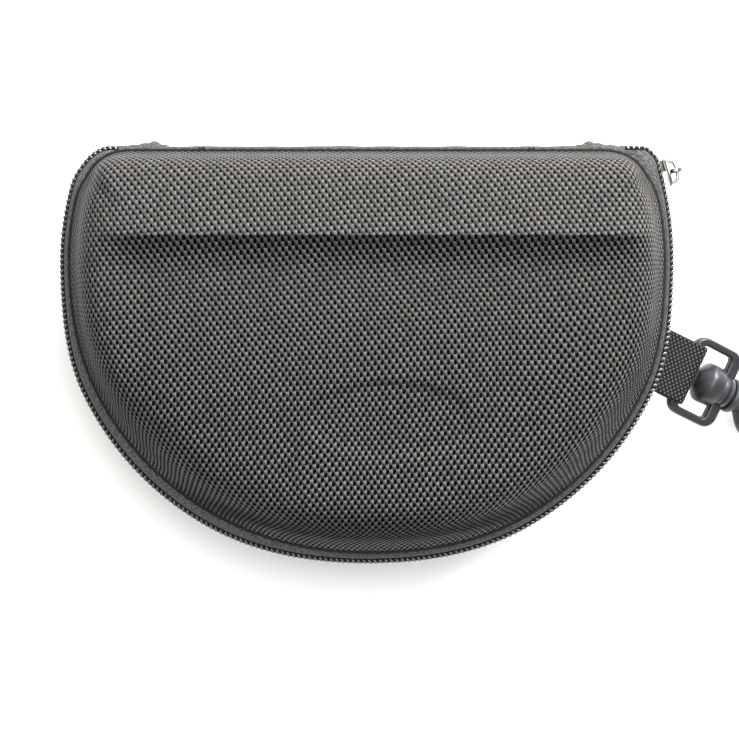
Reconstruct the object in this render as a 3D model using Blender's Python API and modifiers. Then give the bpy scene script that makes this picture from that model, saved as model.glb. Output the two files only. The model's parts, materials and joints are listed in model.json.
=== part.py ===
"""Zip-round carrying case for headphones: two moulded D-shaped shells, a cloth hinge, a coil zip
with its slider, and a webbing loop that holds a plastic swivel snap hook.

Metres, +Z up. The case lies on its back shell. The origin is on the table under the middle of the
case, +Y points at the hinge edge and +X at the side that the webbing loop leaves from.
Names ending in _INSET are measured inwards from the widest outline of the zip, and heights in the
profiles are measured from the zip's mid-plane, up in the lid and down in the back shell.
"""

import math

import bmesh
import bpy
from mathutils import Matrix, Vector

MM = 0.001
COLLECTION = "headphone_case"
GAP = 0.3 * MM

# The D-shaped outline: a straight hinge edge, two side arcs, a flatter front arc, tangent to each other.
HINGE_Y = 60.8 * MM
FRONT_Y = -60.8 * MM
RIM_Z = 32.0 * MM
SIDE_RADIUS = 86.5 * MM
SIDE_CENTRE_X = 3.5 * MM
FRONT_RADIUS = 95.0 * MM
SHELL_CORNER = 16.0 * MM
OPEN_CORNER = 9.0 * MM  # the zip bulges out where its last teeth are left open, at +X
SMALLEST_CORNER = 2.5 * MM

# Facets along each stretch of the outline: corner, side, front, hinge edge.
SHELL_FACETS = (4, 9, 5, 5)
ZIP_FACETS = (6, 16, 8, 1)

# Shell section, (inset, height above the mid-plane), from the rim to the flat of the shell.
LID_PROFILE = ((3.6, 8.0), (4.0, 12.0), (4.8, 17.5), (6.2, 22.5), (8.4, 26.5),
               (11.6, 29.2), (15.5, 30.4), (24.0, 31.2), (40.0, 32.0))
BACK_PROFILE = ((3.6, 8.0), (4.0, 12.0), (4.8, 17.5), (6.2, 23.0), (8.4, 27.6),
                (11.6, 30.6), (15.0, 31.8), (19.0, 32.0))
FABRIC_THICK = 0.8 * MM
FOAM_THICK = 2.6 * MM
LINING_THICK = 0.8 * MM

# Zip tape section: (inset, height, share of the shell's corner radius instead of the zip's).
TAPE_PROFILE = ((1.7, 0.6, 0.0), (1.7, 4.4, 0.0), (2.2, 6.0, 0.5), (3.4, 7.2, 1.0), (8.2, 7.6, 1.0))
TAPE_THICK = 0.5 * MM
COIL_WIDE = 1.4 * MM
COIL_LOW, COIL_HIGH = 0.6 * MM, 2.0 * MM
ZIP_END_X = 62.0 * MM
BINDING_PROFILE = ((9.3, 13.0), (9.0, 7.4), (8.9, 6.3), (4.4, 5.9))
INNER_STRIP_PROFILE = ((8.0, 5.0), (4.6, 4.4), (3.6, 3.2))
STRIP_HALF_LONG = 58.0 * MM
HINGE_AXIS_Y = HINGE_Y + 0.2 * MM

# Gathered cloth tabs over the two ends of the zip: (along the hinge edge, away from it).
END_TAB_OUTLINE = ((-4.6, 0.3), (4.6, 0.3), (4.2, 0.8), (0.6, 2.0), (-0.4, 2.0), (-4.2, 0.8))
END_TAB_HALF_TALL = 5.6 * MM
END_TAB_LEFT_X, END_TAB_RIGHT_X = -62.2 * MM, 64.9 * MM

# Slider: it runs on one circle that the zip follows to within 0.7 mm.
TRACK_CENTRE = Vector((0.0, 28.5 * MM, RIM_Z))
TRACK_RADIUS = 89.25 * MM
SLIDER_REST = math.radians(15.5)
SLIDER_HALF_LONG = 4.2 * MM
BACK_PLATE = (-3.4, -2.7)
FRONT_PLATE = (1.85, 2.55)
BACK_PLATE_TALL, FRONT_PLATE_TALL, WEB_TALL = 3.4, 3.7, 0.3
CROWN_BAR = 4.95  # distance of the crown's bar from the coil's centre line
CROWN_BAR_HALF = 0.4
CROWN_HALF_LONG = 3.4
CROWN_LEG = 0.8
CROWN_SHOULDER = (0.8, 1.2)  # chamfer of the arch's outer corners, outwards and along
CROWN_HAUNCH = 0.4
CROWN_HALF_TALL = 0.7 * MM
PULL_EYE_DROP = 0.35
PULL_EYE_RADIUS, PULL_RADIUS = 1.3, 2.1
PULL_END_Z = -5.2  # centre of the pull's rounded lower end
PULL_HALF_THICK = 0.7 * MM

# Webbing loop and swivel snap hook, along u (away from the case), v (across) and w (thickness).
STRAP_SEAT = math.radians(-18.4)
STRAP_YAW = math.radians(-25.4)
STRAP_PIVOT_OUT = 1.2 * MM
STRAP_Z = 22.8 * MM
WEBBING_HALF_WIDE = 9.3 * MM
WEBBING_HALF_THICK = 1.2
WEBBING_ROOT = (-3.8, -1.5)
BAR_U = 10.9
WRAP_RADIUS, WRAP_HOLE = 3.15, 2.15
FRAME_START, FRAME_END = 9.3, 26.7
FRAME_HALF_WIDE, FRAME_RAIL, FRAME_CORNER = 12.4, 2.4, 3.6
FRAME_HALF_THICK = 1.6
WINDOW_CORNER = 0.8
FRAME_ROUNDING = 0.9 * MM
END_WALL = 3.8
BOSS_RADIUS, BORE_RADIUS, BOSS_PROUD = 4.9, 2.9, 0.1
BORE_OVERRUN = 2.0  # how far a cutter passes the faces it opens
STUD_PROFILE = ((0.0, 15.6), (2.6, 15.6), (4.0, 17.0), (4.3, 19.2), (4.3, 22.4), (2.5, 22.4), (2.5, 27.1),
                (5.0, 27.1), (5.3, 27.6), (5.3, 29.0), (4.6, 29.6), (3.7, 30.2), (3.7, 33.5), (0.0, 33.5))
HOOK_ROUTE = ((32.0, 0.0), (34.5, -3.6), (37.5, -6.6), (41.5, -7.5), (49.0, -7.5))
HOOK_BEND_U, HOOK_BEND_RADIUS = 49.0, 7.5
HOOK_NOSE_U = 46.6
HOOK_WIRE = 2.6
SHOULDER = ((31.0, 1.0), (37.0, 1.0), (37.0, 9.0), (34.0, 9.6), (31.0, 7.0))
SHOULDER_HALF_THICK, SLOT_HALF_THICK, GATE_HALF_THICK = 3.1, 2.1, 1.8
GATE_PIN = (35.0, 6.9)
GATE_PIN_RADIUS, GATE_HOLE_RADIUS, GATE_EYE_RADIUS = 0.8, 1.1, 2.0
GATE_TIP_U, GATE_TIP_RADIUS = 45.0, 1.2
GATE_SLOT, GATE_SLOT_CORNER = ((32.4, 2.2), (38.0, 12.0)), 0.5
SPRING_OUTLINE = ((33.0, 2.6), (36.4, 2.6), (40.8, 4.6), (40.6, 5.0), (36.2, 3.0), (33.0, 3.0))
SPRING_HALF_THICK = 1.2
FLOOR_GAP = 0.15
AXIS_MARK = 5.0 * MM

# ---------------------------------------------------------------- shared helpers


def clear_scene():
    for item in list(bpy.data.objects):
        bpy.data.objects.remove(item, do_unlink=True)


def new_collection(name):
    made = bpy.data.collections.new(name)
    bpy.context.scene.collection.children.link(made)
    return made


def new_material(name, colour, roughness, metallic=0.0):
    made = bpy.data.materials.new(name)
    made.use_nodes = True
    shader = made.node_tree.nodes["Principled BSDF"]
    shader.inputs["Base Color"].default_value = (*colour, 1.0)
    shader.inputs["Roughness"].default_value = roughness
    shader.inputs["Metallic"].default_value = metallic
    made.diffuse_color = (*colour, 1.0)
    return made


def add_object(name, data, kit, material):
    """Links an object to the collection of parts and gives it its one material."""
    made = bpy.data.objects.new(name, data)
    kit["parts"].objects.link(made)
    data.materials.append(kit[material])
    return made


def smooth(item, angle=35.0):
    item.data.shade_smooth()
    item.data.set_sharp_from_angle(angle=math.radians(angle))


def add_solidify(item, thickness):
    shell = item.modifiers.new("thickness", "SOLIDIFY")
    shell.thickness = thickness
    shell.offset = -1.0
    shell.use_even_offset = True


def add_bevel(item, width, segments=2):
    rounding = item.modifiers.new("rounded_edges", "BEVEL")
    rounding.width = width
    rounding.segments = segments
    rounding.limit_method = "ANGLE"
    rounding.angle_limit = math.radians(40.0)
    rounding.use_clamp_overlap = False


def add_boolean(item, cutter, operation):
    step = item.modifiers.new(operation.lower(), "BOOLEAN")
    step.operation = operation
    step.object = cutter
    step.solver = "EXACT"


def make_helper(item, kit):
    """Moves an object that only cuts or joins another into the collection of cutters."""
    for owner in list(item.users_collection):
        owner.objects.unlink(item)
    kit["cutters"].objects.link(item)
    item.hide_render = True
    item.display_type = "WIRE"


def axis_empty(name, matrix, kit):
    """An empty on a joint's axis, which the pieces that turn about it hang from."""
    made = bpy.data.objects.new(name, None)
    made.empty_display_size = AXIS_MARK
    made.matrix_world = matrix
    kit["parts"].objects.link(made)
    return made


def hang(items, parent):
    bpy.context.view_layer.update()
    for item in items:
        item.parent = parent
        item.matrix_parent_inverse = parent.matrix_world.inverted()


def loft(name, rings, kit, material, thickness, closed, capped=False, flipped=False):
    """One surface through rings of equal length, given its thickness on the inner side."""
    builder = bmesh.new()
    rows = [[builder.verts.new(point) for point in ring] for ring in rings]
    faces = []
    for lower, upper in zip(rows, rows[1:]):
        count = len(lower)
        for here in range(count if closed else count - 1):
            after = (here + 1) % count
            faces.append((lower[here], lower[after], upper[after], upper[here]))
    if capped:
        faces.append(tuple(rows[-1]))
    for corners in faces:
        builder.faces.new(corners[::-1] if flipped else corners)
    mesh = bpy.data.meshes.new(name)
    builder.to_mesh(mesh)
    builder.free()
    item = add_object(name, mesh, kit, material)
    smooth(item)
    add_solidify(item, thickness)
    return item


def sweep(name, sections, kit, material):
    """A closed bar through closed sections of equal length, with a flat end at each end."""
    builder = bmesh.new()
    rows = [[builder.verts.new(point) for point in section] for section in sections]
    for behind, ahead in zip(rows, rows[1:]):
        count = len(behind)
        for here in range(count):
            after = (here + 1) % count
            builder.faces.new((behind[here], behind[after], ahead[after], ahead[here]))
    builder.faces.new(rows[0])
    builder.faces.new(rows[-1])
    bmesh.ops.recalc_face_normals(builder, faces=builder.faces)
    mesh = bpy.data.meshes.new(name)
    builder.to_mesh(mesh)
    builder.free()
    item = add_object(name, mesh, kit, material)
    smooth(item)
    return item


def arc(centre_x, centre_y, radius, start, end, facets):
    """Points of an arc from start to end, in radians, both ends included."""
    turns = [start + (end - start) * step / facets for step in range(facets + 1)]
    return [(centre_x + radius * math.cos(turn), centre_y + radius * math.sin(turn)) for turn in turns]


def round_slot(start, end, radius, facets=8):
    """A stadium between two points on a line along the first axis or the second."""
    turn = math.atan2(end[1] - start[1], end[0] - start[0])
    quarter = math.pi / 2.0
    near = arc(start[0], start[1], radius, turn + quarter, turn + 3.0 * quarter, facets)
    far = arc(end[0], end[1], radius, turn - quarter, turn + quarter, facets)
    return near + far


def circle(centre, radius, facets=16):
    return arc(centre[0], centre[1], radius, 0.0, 2.0 * math.pi, facets)[:-1]


def rounded_box(low, high, corner, facets=4):
    quarter = math.pi / 2.0
    centres = ((high[0] - corner, high[1] - corner), (low[0] + corner, high[1] - corner),
               (low[0] + corner, low[1] + corner), (high[0] - corner, low[1] + corner))
    points = []
    for index, (centre_x, centre_y) in enumerate(centres):
        points += arc(centre_x, centre_y, corner, index * quarter, (index + 1) * quarter, facets)
    return points


def flat_plate(name, outlines, half_thick, matrix, kit, material):
    """A flat outline with holes, given in millimetres, as a filled curve turned into a mesh."""
    curve = bpy.data.curves.new(name, "CURVE")
    curve.dimensions = "2D"
    curve.fill_mode = "BOTH"
    curve.extrude = half_thick
    for outline in outlines:
        spline = curve.splines.new("POLY")
        spline.points.add(len(outline) - 1)
        for point, (x, y) in zip(spline.points, outline):
            point.co = (x * MM, y * MM, 0.0, 1.0)
        spline.use_cyclic_u = True
    return meshed(name, curve, matrix, kit, material)


def meshed(name, curve, matrix, kit, material):
    """A curve made into a mesh object, with its caps welded to its sides."""
    source = bpy.data.objects.new(name + "_curve", curve)
    kit["cutters"].objects.link(source)
    source.matrix_world = matrix
    bpy.context.view_layer.update()
    evaluated = source.evaluated_get(bpy.context.evaluated_depsgraph_get())
    mesh = bpy.data.meshes.new_from_object(evaluated)
    mesh.materials.clear()
    builder = bmesh.new()
    builder.from_mesh(mesh)
    bmesh.ops.remove_doubles(builder, verts=builder.verts, dist=0.001 * MM)
    bmesh.ops.recalc_face_normals(builder, faces=builder.faces)
    builder.to_mesh(mesh)
    builder.free()
    item = add_object(name, mesh, kit, material)
    item.matrix_world = source.matrix_world.copy()
    bpy.data.objects.remove(source, do_unlink=True)
    smooth(item)
    return item


def cylinder(name, radius, start, end, matrix, kit, material, facets=20):
    """A cylinder along the local X axis of a frame, from start to end in millimetres."""
    bpy.ops.mesh.primitive_cylinder_add(vertices=facets, radius=radius * MM, depth=(end - start) * MM)
    item = bpy.context.object
    for owner in list(item.users_collection):
        owner.objects.unlink(item)
    kit["parts"].objects.link(item)
    item.name = name
    item.data.materials.append(kit[material])
    along_x = Matrix.Rotation(math.pi / 2.0, 4, "Y")
    item.matrix_world = matrix @ Matrix.Translation(((start + end) / 2.0 * MM, 0.0, 0.0)) @ along_x
    smooth(item)
    return item


# ---------------------------------------------------------------- the outline


def corner_centre(inset, corner):
    """Centre of the +X corner arc and the angle at which it leaves the side arc."""
    side_radius = SIDE_RADIUS - inset
    centre_y = HINGE_Y - inset - corner
    rise = centre_y - side_centre_y()
    run = math.sqrt((side_radius - corner) ** 2 - rise ** 2)
    return SIDE_CENTRE_X + run, centre_y, math.atan2(rise, run)


def side_centre_y():
    between = FRONT_RADIUS - SIDE_RADIUS
    return FRONT_Y + FRONT_RADIUS - math.sqrt(between ** 2 - SIDE_CENTRE_X ** 2)


def open_outline(inset, left_corner, right_corner, facets):
    """The D without its hinge edge, from the left end of that edge round the front to the right end."""
    corner_facets, side_facets, front_facets, _ = facets
    side_y = side_centre_y()
    front_y = FRONT_Y + FRONT_RADIUS
    meet = math.atan2(side_y - front_y, SIDE_CENTRE_X)
    left_x, left_y, left_turn = corner_centre(inset, left_corner)
    right_x, right_y, right_turn = corner_centre(inset, right_corner)
    half = math.pi / 2.0
    side = SIDE_RADIUS - inset
    front = FRONT_RADIUS - inset
    stretches = (
        arc(-left_x, left_y, left_corner, half, math.pi - left_turn, corner_facets),
        arc(-SIDE_CENTRE_X, side_y, side, math.pi - left_turn, math.pi - meet, side_facets),
        arc(0.0, front_y, front, -math.pi - meet, meet, front_facets),
        arc(SIDE_CENTRE_X, side_y, side, meet, right_turn, side_facets),
        arc(right_x, right_y, right_corner, right_turn, half, corner_facets),
    )
    points = list(stretches[0])
    for stretch in stretches[1:]:
        points += stretch[1:]
    return points


def shell_corner(inset):
    return max(SHELL_CORNER - inset, SMALLEST_CORNER)


def shell_ring(inset, height):
    """The whole D at one inset and height, as the shells and their bindings follow it."""
    corner = shell_corner(inset)
    points = open_outline(inset, corner, corner, SHELL_FACETS)
    (last_x, edge_y), (first_x, _) = points[-1], points[0]
    steps = SHELL_FACETS[3]
    points += [(last_x + (first_x - last_x) * step / steps, edge_y) for step in range(1, steps)]
    return [Vector((x, y, RIM_Z + height)) for x, y in points]


def zip_row(inset, height, shell_share=0.0):
    """A line along the zip: the D without most of its hinge edge, fuller at the open corner."""
    left = SHELL_CORNER - inset
    right = (OPEN_CORNER - inset) * (1.0 - shell_share) + left * shell_share
    points = open_outline(inset, left, right, ZIP_FACETS)
    edge_y = HINGE_Y - inset
    points = [(-ZIP_END_X, edge_y)] + points + [(ZIP_END_X, edge_y)]
    return [Vector((x, y, RIM_Z + height)) for x, y in points]


def offset_profile(profile, depth):
    """The section line moved into the shell by a depth, keeping its rim at the same height."""
    points = [Vector((-inset, height)) for inset, height in profile]
    normals = []
    for here, after in zip(points, points[1:]):
        along = (after - here).normalized()
        normals.append(Vector((along.y, -along.x)))
    moved = [points[0] - Vector((depth / normals[0].x, 0.0))]
    for point, first, second in zip(points[1:], normals, normals[1:]):
        miter = (first + second) / (1.0 + first.dot(second))
        moved.append(point - miter * depth)
    moved.append(points[-1] - Vector((0.0, depth)))
    return [(-outward, height) for outward, height in moved]


# ---------------------------------------------------------------- shells


def shell_layer(name, profile, depth, thickness, side, kit, material):
    """One layer of a moulded shell; side is 1 for the lid and -1 for the back shell."""
    line = offset_profile([(inset * MM, height * MM) for inset, height in profile], depth)
    rings = [shell_ring(inset, side * height) for inset, height in line]
    return loft(name, rings, kit, material, thickness, closed=True, capped=True, flipped=side < 0)


def make_shell(prefix, profile, side, kit):
    """Outer fabric, foam core and lining, which are laminated into one moulded shell."""
    inner = profile[0::2] if len(profile) % 2 else profile[0:-1:2] + profile[-1:]
    foam_depth = FABRIC_THICK + GAP
    lining_depth = foam_depth + FOAM_THICK + GAP
    return [
        shell_layer(prefix + "_shell_fabric", profile, 0.0, FABRIC_THICK, side, kit, "ballistic_nylon"),
        shell_layer(prefix + "_shell_foam", inner, foam_depth, FOAM_THICK, side, kit, "eva_foam"),
        shell_layer(prefix + "_lining", inner, lining_depth, LINING_THICK, side, kit, "lining"),
    ]


def make_binding(prefix, side, kit):
    """Folded tape that covers the shell's raw edge on the inside, all the way round."""
    rings = [shell_ring(inset * MM, side * height * MM) for inset, height in BINDING_PROFILE]
    return loft(prefix + "_binding_tape", rings, kit, "binding", TAPE_THICK, closed=True, flipped=side > 0)


def make_zip_tape(prefix, side, kit):
    rows = [zip_row(inset * MM, side * height * MM, share) for inset, height, share in TAPE_PROFILE]
    return loft(prefix + "_zipper_tape", rows, kit, "zipper_tape", TAPE_THICK, closed=False, flipped=side < 0)


def make_zip_coil(prefix, side, kit):
    """The row of teeth as a plain bar, which the slider's channel passes over."""
    corners = ((0.0, COIL_LOW), (0.0, COIL_HIGH), (COIL_WIDE, COIL_HIGH), (COIL_WIDE, COIL_LOW))
    rows = [zip_row(inset, side * height) for inset, height in corners]
    return sweep(prefix + "_zipper_coil", list(zip(*rows)), kit, "zipper_coil")


def hinge_strip(name, profile, kit, material):
    """Cloth across the hinge edge, from one shell's seam to the other's."""
    upper = [(inset, height) for inset, height, *_ in profile]
    line = upper[::-1] + [(inset, -height) for inset, height in upper]
    rows = []
    for inset, height in line:
        y, z = HINGE_Y - inset * MM, RIM_Z + height * MM
        rows.append([Vector((-STRIP_HALF_LONG, y, z)), Vector((STRIP_HALF_LONG, y, z))])
    return loft(name, rows, kit, material, TAPE_THICK, closed=False)


def make_end_tab(name, centre_x, kit):
    matrix = Matrix.Translation((centre_x, HINGE_Y, RIM_Z))
    return flat_plate(name, [END_TAB_OUTLINE], END_TAB_HALF_TALL, matrix, kit, "zipper_tape")


# ---------------------------------------------------------------- slider and pull


def slider_frame():
    """Local X away from the case, local Y up, on the zip's centre line at the slider's place."""
    outward = Vector((math.cos(SLIDER_REST), math.sin(SLIDER_REST), 0.0))
    up = Vector((0.0, 0.0, 1.0))
    frame = Matrix((outward, up, outward.cross(up))).transposed().to_4x4()
    return Matrix.Translation(TRACK_CENTRE + outward * TRACK_RADIUS) @ frame


def make_slider(kit):
    (back_in, back_out), (front_in, front_out) = BACK_PLATE, FRONT_PLATE
    right_half = [(back_out, WEB_TALL), (front_in, WEB_TALL), (front_in, FRONT_PLATE_TALL),
                  (front_out, FRONT_PLATE_TALL)]
    lower = [(x, -y) for x, y in right_half[::-1]]
    left = [(back_out, -BACK_PLATE_TALL), (back_in, -BACK_PLATE_TALL), (back_in, BACK_PLATE_TALL),
            (back_out, BACK_PLATE_TALL)]
    outline = right_half + lower + left
    body = flat_plate("slider_body", [outline], SLIDER_HALF_LONG, slider_frame(), kit, "nickel")
    add_bevel(body, 0.2 * MM, 1)
    return body


def make_crown(kit):
    """The bridge on the slider's outer face, seen along its length as an arch."""
    foot = FRONT_PLATE[1] + GAP / MM
    bar_in, bar_out = CROWN_BAR - CROWN_BAR_HALF, CROWN_BAR + CROWN_BAR_HALF
    reach = CROWN_HALF_LONG
    drop, cut = CROWN_SHOULDER
    inside = reach - CROWN_LEG
    outline = [(foot, -reach), (bar_out - drop, -reach), (bar_out, -reach + cut), (bar_out, reach - cut),
               (bar_out - drop, reach), (foot, reach), (foot, inside), (bar_in, inside - CROWN_HAUNCH),
               (bar_in, -inside + CROWN_HAUNCH), (foot, -inside)]
    flat = slider_frame() @ Matrix.Rotation(-math.pi / 2.0, 4, "X")
    crown = flat_plate("slider_crown", [outline], CROWN_HALF_TALL, flat, kit, "nickel")
    add_bevel(crown, 0.2 * MM, 1)
    return crown


def make_pull(kit):
    """A short cast pull that hangs edge-on from the crown's bar."""
    eye = (CROWN_BAR, -PULL_EYE_DROP)
    outer = round_slot((CROWN_BAR, PULL_END_Z), eye, PULL_RADIUS)
    hole = circle(eye, PULL_EYE_RADIUS, 14)
    pull = flat_plate("pull_tab", [outer, hole], PULL_HALF_THICK, slider_frame(), kit, "nickel")
    add_bevel(pull, 0.25 * MM, 1)
    return pull


# ---------------------------------------------------------------- webbing and hook


def strap_pivot():
    """Where the webbing starts to bend, just outside the zip."""
    rim = Vector((SIDE_CENTRE_X + SIDE_RADIUS * math.cos(STRAP_SEAT),
                  side_centre_y() + SIDE_RADIUS * math.sin(STRAP_SEAT), STRAP_Z))
    return rim + STRAP_PIVOT_OUT * Vector((math.cos(STRAP_YAW), math.sin(STRAP_YAW), 0.0))


def hook_reach():
    """Distance from the webbing's bend to the centre of the hook's far bend."""
    return HOOK_BEND_U + HOOK_BEND_RADIUS


def strap_frame(pitch):
    turn = Matrix.Rotation(STRAP_YAW, 4, "Z") @ Matrix.Rotation(pitch, 4, "Y")
    return Matrix.Translation(strap_pivot()) @ turn


def droop():
    """Slope at which the far bend of the hook comes down onto the table."""
    fall = STRAP_Z / MM - HOOK_WIRE - FLOOR_GAP
    return math.asin(fall / hook_reach())


def across(frame):
    """The same frame turned so that local X, Y is the u, w plane of the webbing's edge."""
    return frame @ Matrix.Rotation(math.pi / 2.0, 4, "X")


def make_webbing(kit):
    frame = strap_frame(droop())
    half = WEBBING_HALF_THICK
    lean = math.asin((WRAP_RADIUS - half) / BAR_U)
    outline = arc(0.0, 0.0, half, math.pi / 2.0 + lean, 1.5 * math.pi - lean, 8)
    outline += arc(BAR_U, 0.0, WRAP_RADIUS, -math.pi / 2.0 - lean, math.pi / 2.0 + lean, 16)
    hole = circle((BAR_U, 0.0), WRAP_HOLE)
    loop = flat_plate("webbing_loop", [outline, hole], WEBBING_HALF_WIDE, across(frame), kit, "webbing")
    start, end = WEBBING_ROOT
    stub = [(start, -half), (end, -half), (end, half), (start, half)]
    root = flat_plate("webbing_root", [stub], WEBBING_HALF_WIDE, across(strap_frame(0.0)), kit, "webbing")
    return loop, root


def make_hook_frame(kit):
    """The oblong ring whose near bar the webbing wraps and whose far wall carries the swivel."""
    frame = strap_frame(droop())
    outer = rounded_box((FRAME_START, -FRAME_HALF_WIDE), (FRAME_END, FRAME_HALF_WIDE), FRAME_CORNER)
    inner_start = BAR_U * 2.0 - FRAME_START
    inner_end = FRAME_END - END_WALL
    inner_wide = FRAME_HALF_WIDE - FRAME_RAIL
    inner = rounded_box((inner_start, -inner_wide), (inner_end, inner_wide), WINDOW_CORNER)
    ring = flat_plate("hook_frame", [outer, inner], FRAME_HALF_THICK * MM, frame, kit, "black_plastic")
    add_bevel(ring, FRAME_ROUNDING, 1)
    boss = cylinder("swivel_boss", BOSS_RADIUS, inner_end - BOSS_PROUD, FRAME_END + BOSS_PROUD, frame, kit,
                    "black_plastic", 24)
    bore = cylinder("swivel_bore", BORE_RADIUS, inner_end - BORE_OVERRUN, FRAME_END + BORE_OVERRUN, frame, kit,
                    "black_plastic")
    add_boolean(ring, boss, "UNION")
    add_boolean(ring, bore, "DIFFERENCE")
    make_helper(boss, kit)
    make_helper(bore, kit)
    return ring


def make_stud(frame, kit):
    """Snap-in head, stud, collar and neck, turned about the swivel's axis."""
    mesh = bpy.data.meshes.new("hook_body")
    points = [(along * MM, radius * MM, 0.0) for radius, along in STUD_PROFILE]
    mesh.from_pydata(points, [(index, index + 1) for index in range(len(points) - 1)], [])
    stud = add_object("hook_body", mesh, kit, "black_plastic")
    stud.matrix_world = frame
    turned = stud.modifiers.new("turned", "SCREW")
    turned.axis = "X"
    turned.steps = 20
    turned.render_steps = 20
    turned.use_merge_vertices = True
    turned.merge_threshold = 0.02 * MM
    turned.use_normal_calculate = True
    return stud


def make_hook_bend(frame, kit):
    """The bent arm of the hook as a bevelled curve that ends in its nose."""
    bend = arc(HOOK_BEND_U, 0.0, HOOK_BEND_RADIUS, -math.pi / 2.0, math.pi / 2.0, 10)
    route = list(HOOK_ROUTE[:-1]) + bend + [(HOOK_NOSE_U, HOOK_BEND_RADIUS)]
    curve = bpy.data.curves.new("hook_bend", "CURVE")
    curve.dimensions = "3D"
    curve.bevel_depth = HOOK_WIRE * MM
    curve.bevel_resolution = 3
    curve.use_fill_caps = True
    spline = curve.splines.new("POLY")
    spline.points.add(len(route) - 1)
    for point, (u, v) in zip(spline.points, route):
        point.co = (u * MM, v * MM, 0.0, 1.0)
    return meshed("hook_bend", curve, frame, kit, "black_plastic")


def make_hook(kit):
    frame = strap_frame(droop())
    body = make_stud(frame, kit)
    bend = make_hook_bend(frame, kit)
    shoulder = flat_plate("gate_shoulder", [SHOULDER], SHOULDER_HALF_THICK * MM, frame, kit, "black_plastic")
    slot_outline = rounded_box(GATE_SLOT[0], GATE_SLOT[1], GATE_SLOT_CORNER, 2)
    slot = flat_plate("gate_slot", [slot_outline], SLOT_HALF_THICK * MM, frame, kit, "black_plastic")
    hole = flat_plate("pin_hole", [circle(GATE_PIN, GATE_HOLE_RADIUS)], (SHOULDER_HALF_THICK + BORE_OVERRUN) * MM,
                      frame, kit, "black_plastic")
    for helper, operation in ((bend, "UNION"), (shoulder, "UNION"), (slot, "DIFFERENCE"),
                              (hole, "DIFFERENCE")):
        add_boolean(body, helper, operation)
        make_helper(helper, kit)
    return body


def make_gate(kit):
    """The sprung gate, its pin and its leaf spring."""
    frame = strap_frame(droop())
    tip = (GATE_TIP_U, HOOK_BEND_RADIUS - 0.2)
    near = arc(GATE_PIN[0], GATE_PIN[1], GATE_EYE_RADIUS, math.pi / 2.0, 1.5 * math.pi, 8)
    far = arc(tip[0], tip[1], GATE_TIP_RADIUS, -math.pi / 2.0, math.pi / 2.0, 6)
    hole = circle(GATE_PIN, GATE_HOLE_RADIUS, 14)
    gate = flat_plate("hook_gate", [near + far, hole], GATE_HALF_THICK * MM, frame, kit, "black_plastic")
    pin_frame = frame @ Matrix.Translation((GATE_PIN[0] * MM, GATE_PIN[1] * MM, 0.0))
    upright = pin_frame @ Matrix.Rotation(-math.pi / 2.0, 4, "Y")
    pin = cylinder("gate_pin", GATE_PIN_RADIUS, -SHOULDER_HALF_THICK, SHOULDER_HALF_THICK, upright, kit,
                   "spring_steel", 12)
    spring = flat_plate("gate_spring", [SPRING_OUTLINE], SPRING_HALF_THICK * MM, frame, kit, "spring_steel")
    return gate, pin, spring


# ---------------------------------------------------------------- assembly


def make_kit():
    return {
        "parts": new_collection(COLLECTION),
        "cutters": new_collection("cutters"),
        "ballistic_nylon": new_material("ballistic_nylon", (0.050, 0.048, 0.046), 0.62),
        "eva_foam": new_material("eva_foam", (0.035, 0.035, 0.036), 0.90),
        "lining": new_material("lining", (0.060, 0.060, 0.062), 0.95),
        "binding": new_material("binding", (0.030, 0.030, 0.032), 0.80),
        "zipper_tape": new_material("zipper_tape", (0.085, 0.085, 0.085), 0.85),
        "zipper_coil": new_material("zipper_coil", (0.018, 0.018, 0.020), 0.30),
        "nickel": new_material("nickel", (0.78, 0.77, 0.75), 0.22, 1.0),
        "webbing": new_material("webbing", (0.030, 0.030, 0.032), 0.70),
        "black_plastic": new_material("black_plastic", (0.045, 0.048, 0.052), 0.38),
        "spring_steel": new_material("spring_steel", (0.55, 0.55, 0.56), 0.30, 1.0),
    }


def hang_moving_parts(kit, lid, slider, pull, webbing, ring, hook, gate):
    """Parents each moving group to an empty on its joint's axis."""
    hinge = axis_empty("lid_hinge_axis", Matrix.Translation((0.0, HINGE_AXIS_Y, RIM_Z)), kit)
    track = axis_empty("slider_track_axis", Matrix.Translation(TRACK_CENTRE), kit)
    bar = slider_frame() @ Matrix.Translation((CROWN_BAR * MM, 0.0, 0.0))
    pull_axis = axis_empty("pull_axis", bar, kit)
    frame = strap_frame(droop())
    strap_axis = axis_empty("strap_bend_axis", frame, kit)
    bar_axis = axis_empty("hook_frame_axis", frame @ Matrix.Translation((BAR_U * MM, 0.0, 0.0)), kit)
    swivel_axis = axis_empty("swivel_axis", frame @ Matrix.Translation((FRAME_END * MM, 0.0, 0.0)), kit)
    pin = frame @ Matrix.Translation((GATE_PIN[0] * MM, GATE_PIN[1] * MM, 0.0))
    gate_axis = axis_empty("gate_axis", pin, kit)
    hang([pull_axis], track)
    hang([bar_axis], strap_axis)
    hang([swivel_axis], bar_axis)
    hang([gate_axis], swivel_axis)
    for group, axis in ((lid, hinge), (slider, track), ([pull], pull_axis), ([webbing], strap_axis),
                        ([ring], bar_axis), (hook, swivel_axis), ([gate], gate_axis)):
        hang(group, axis)


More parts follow.
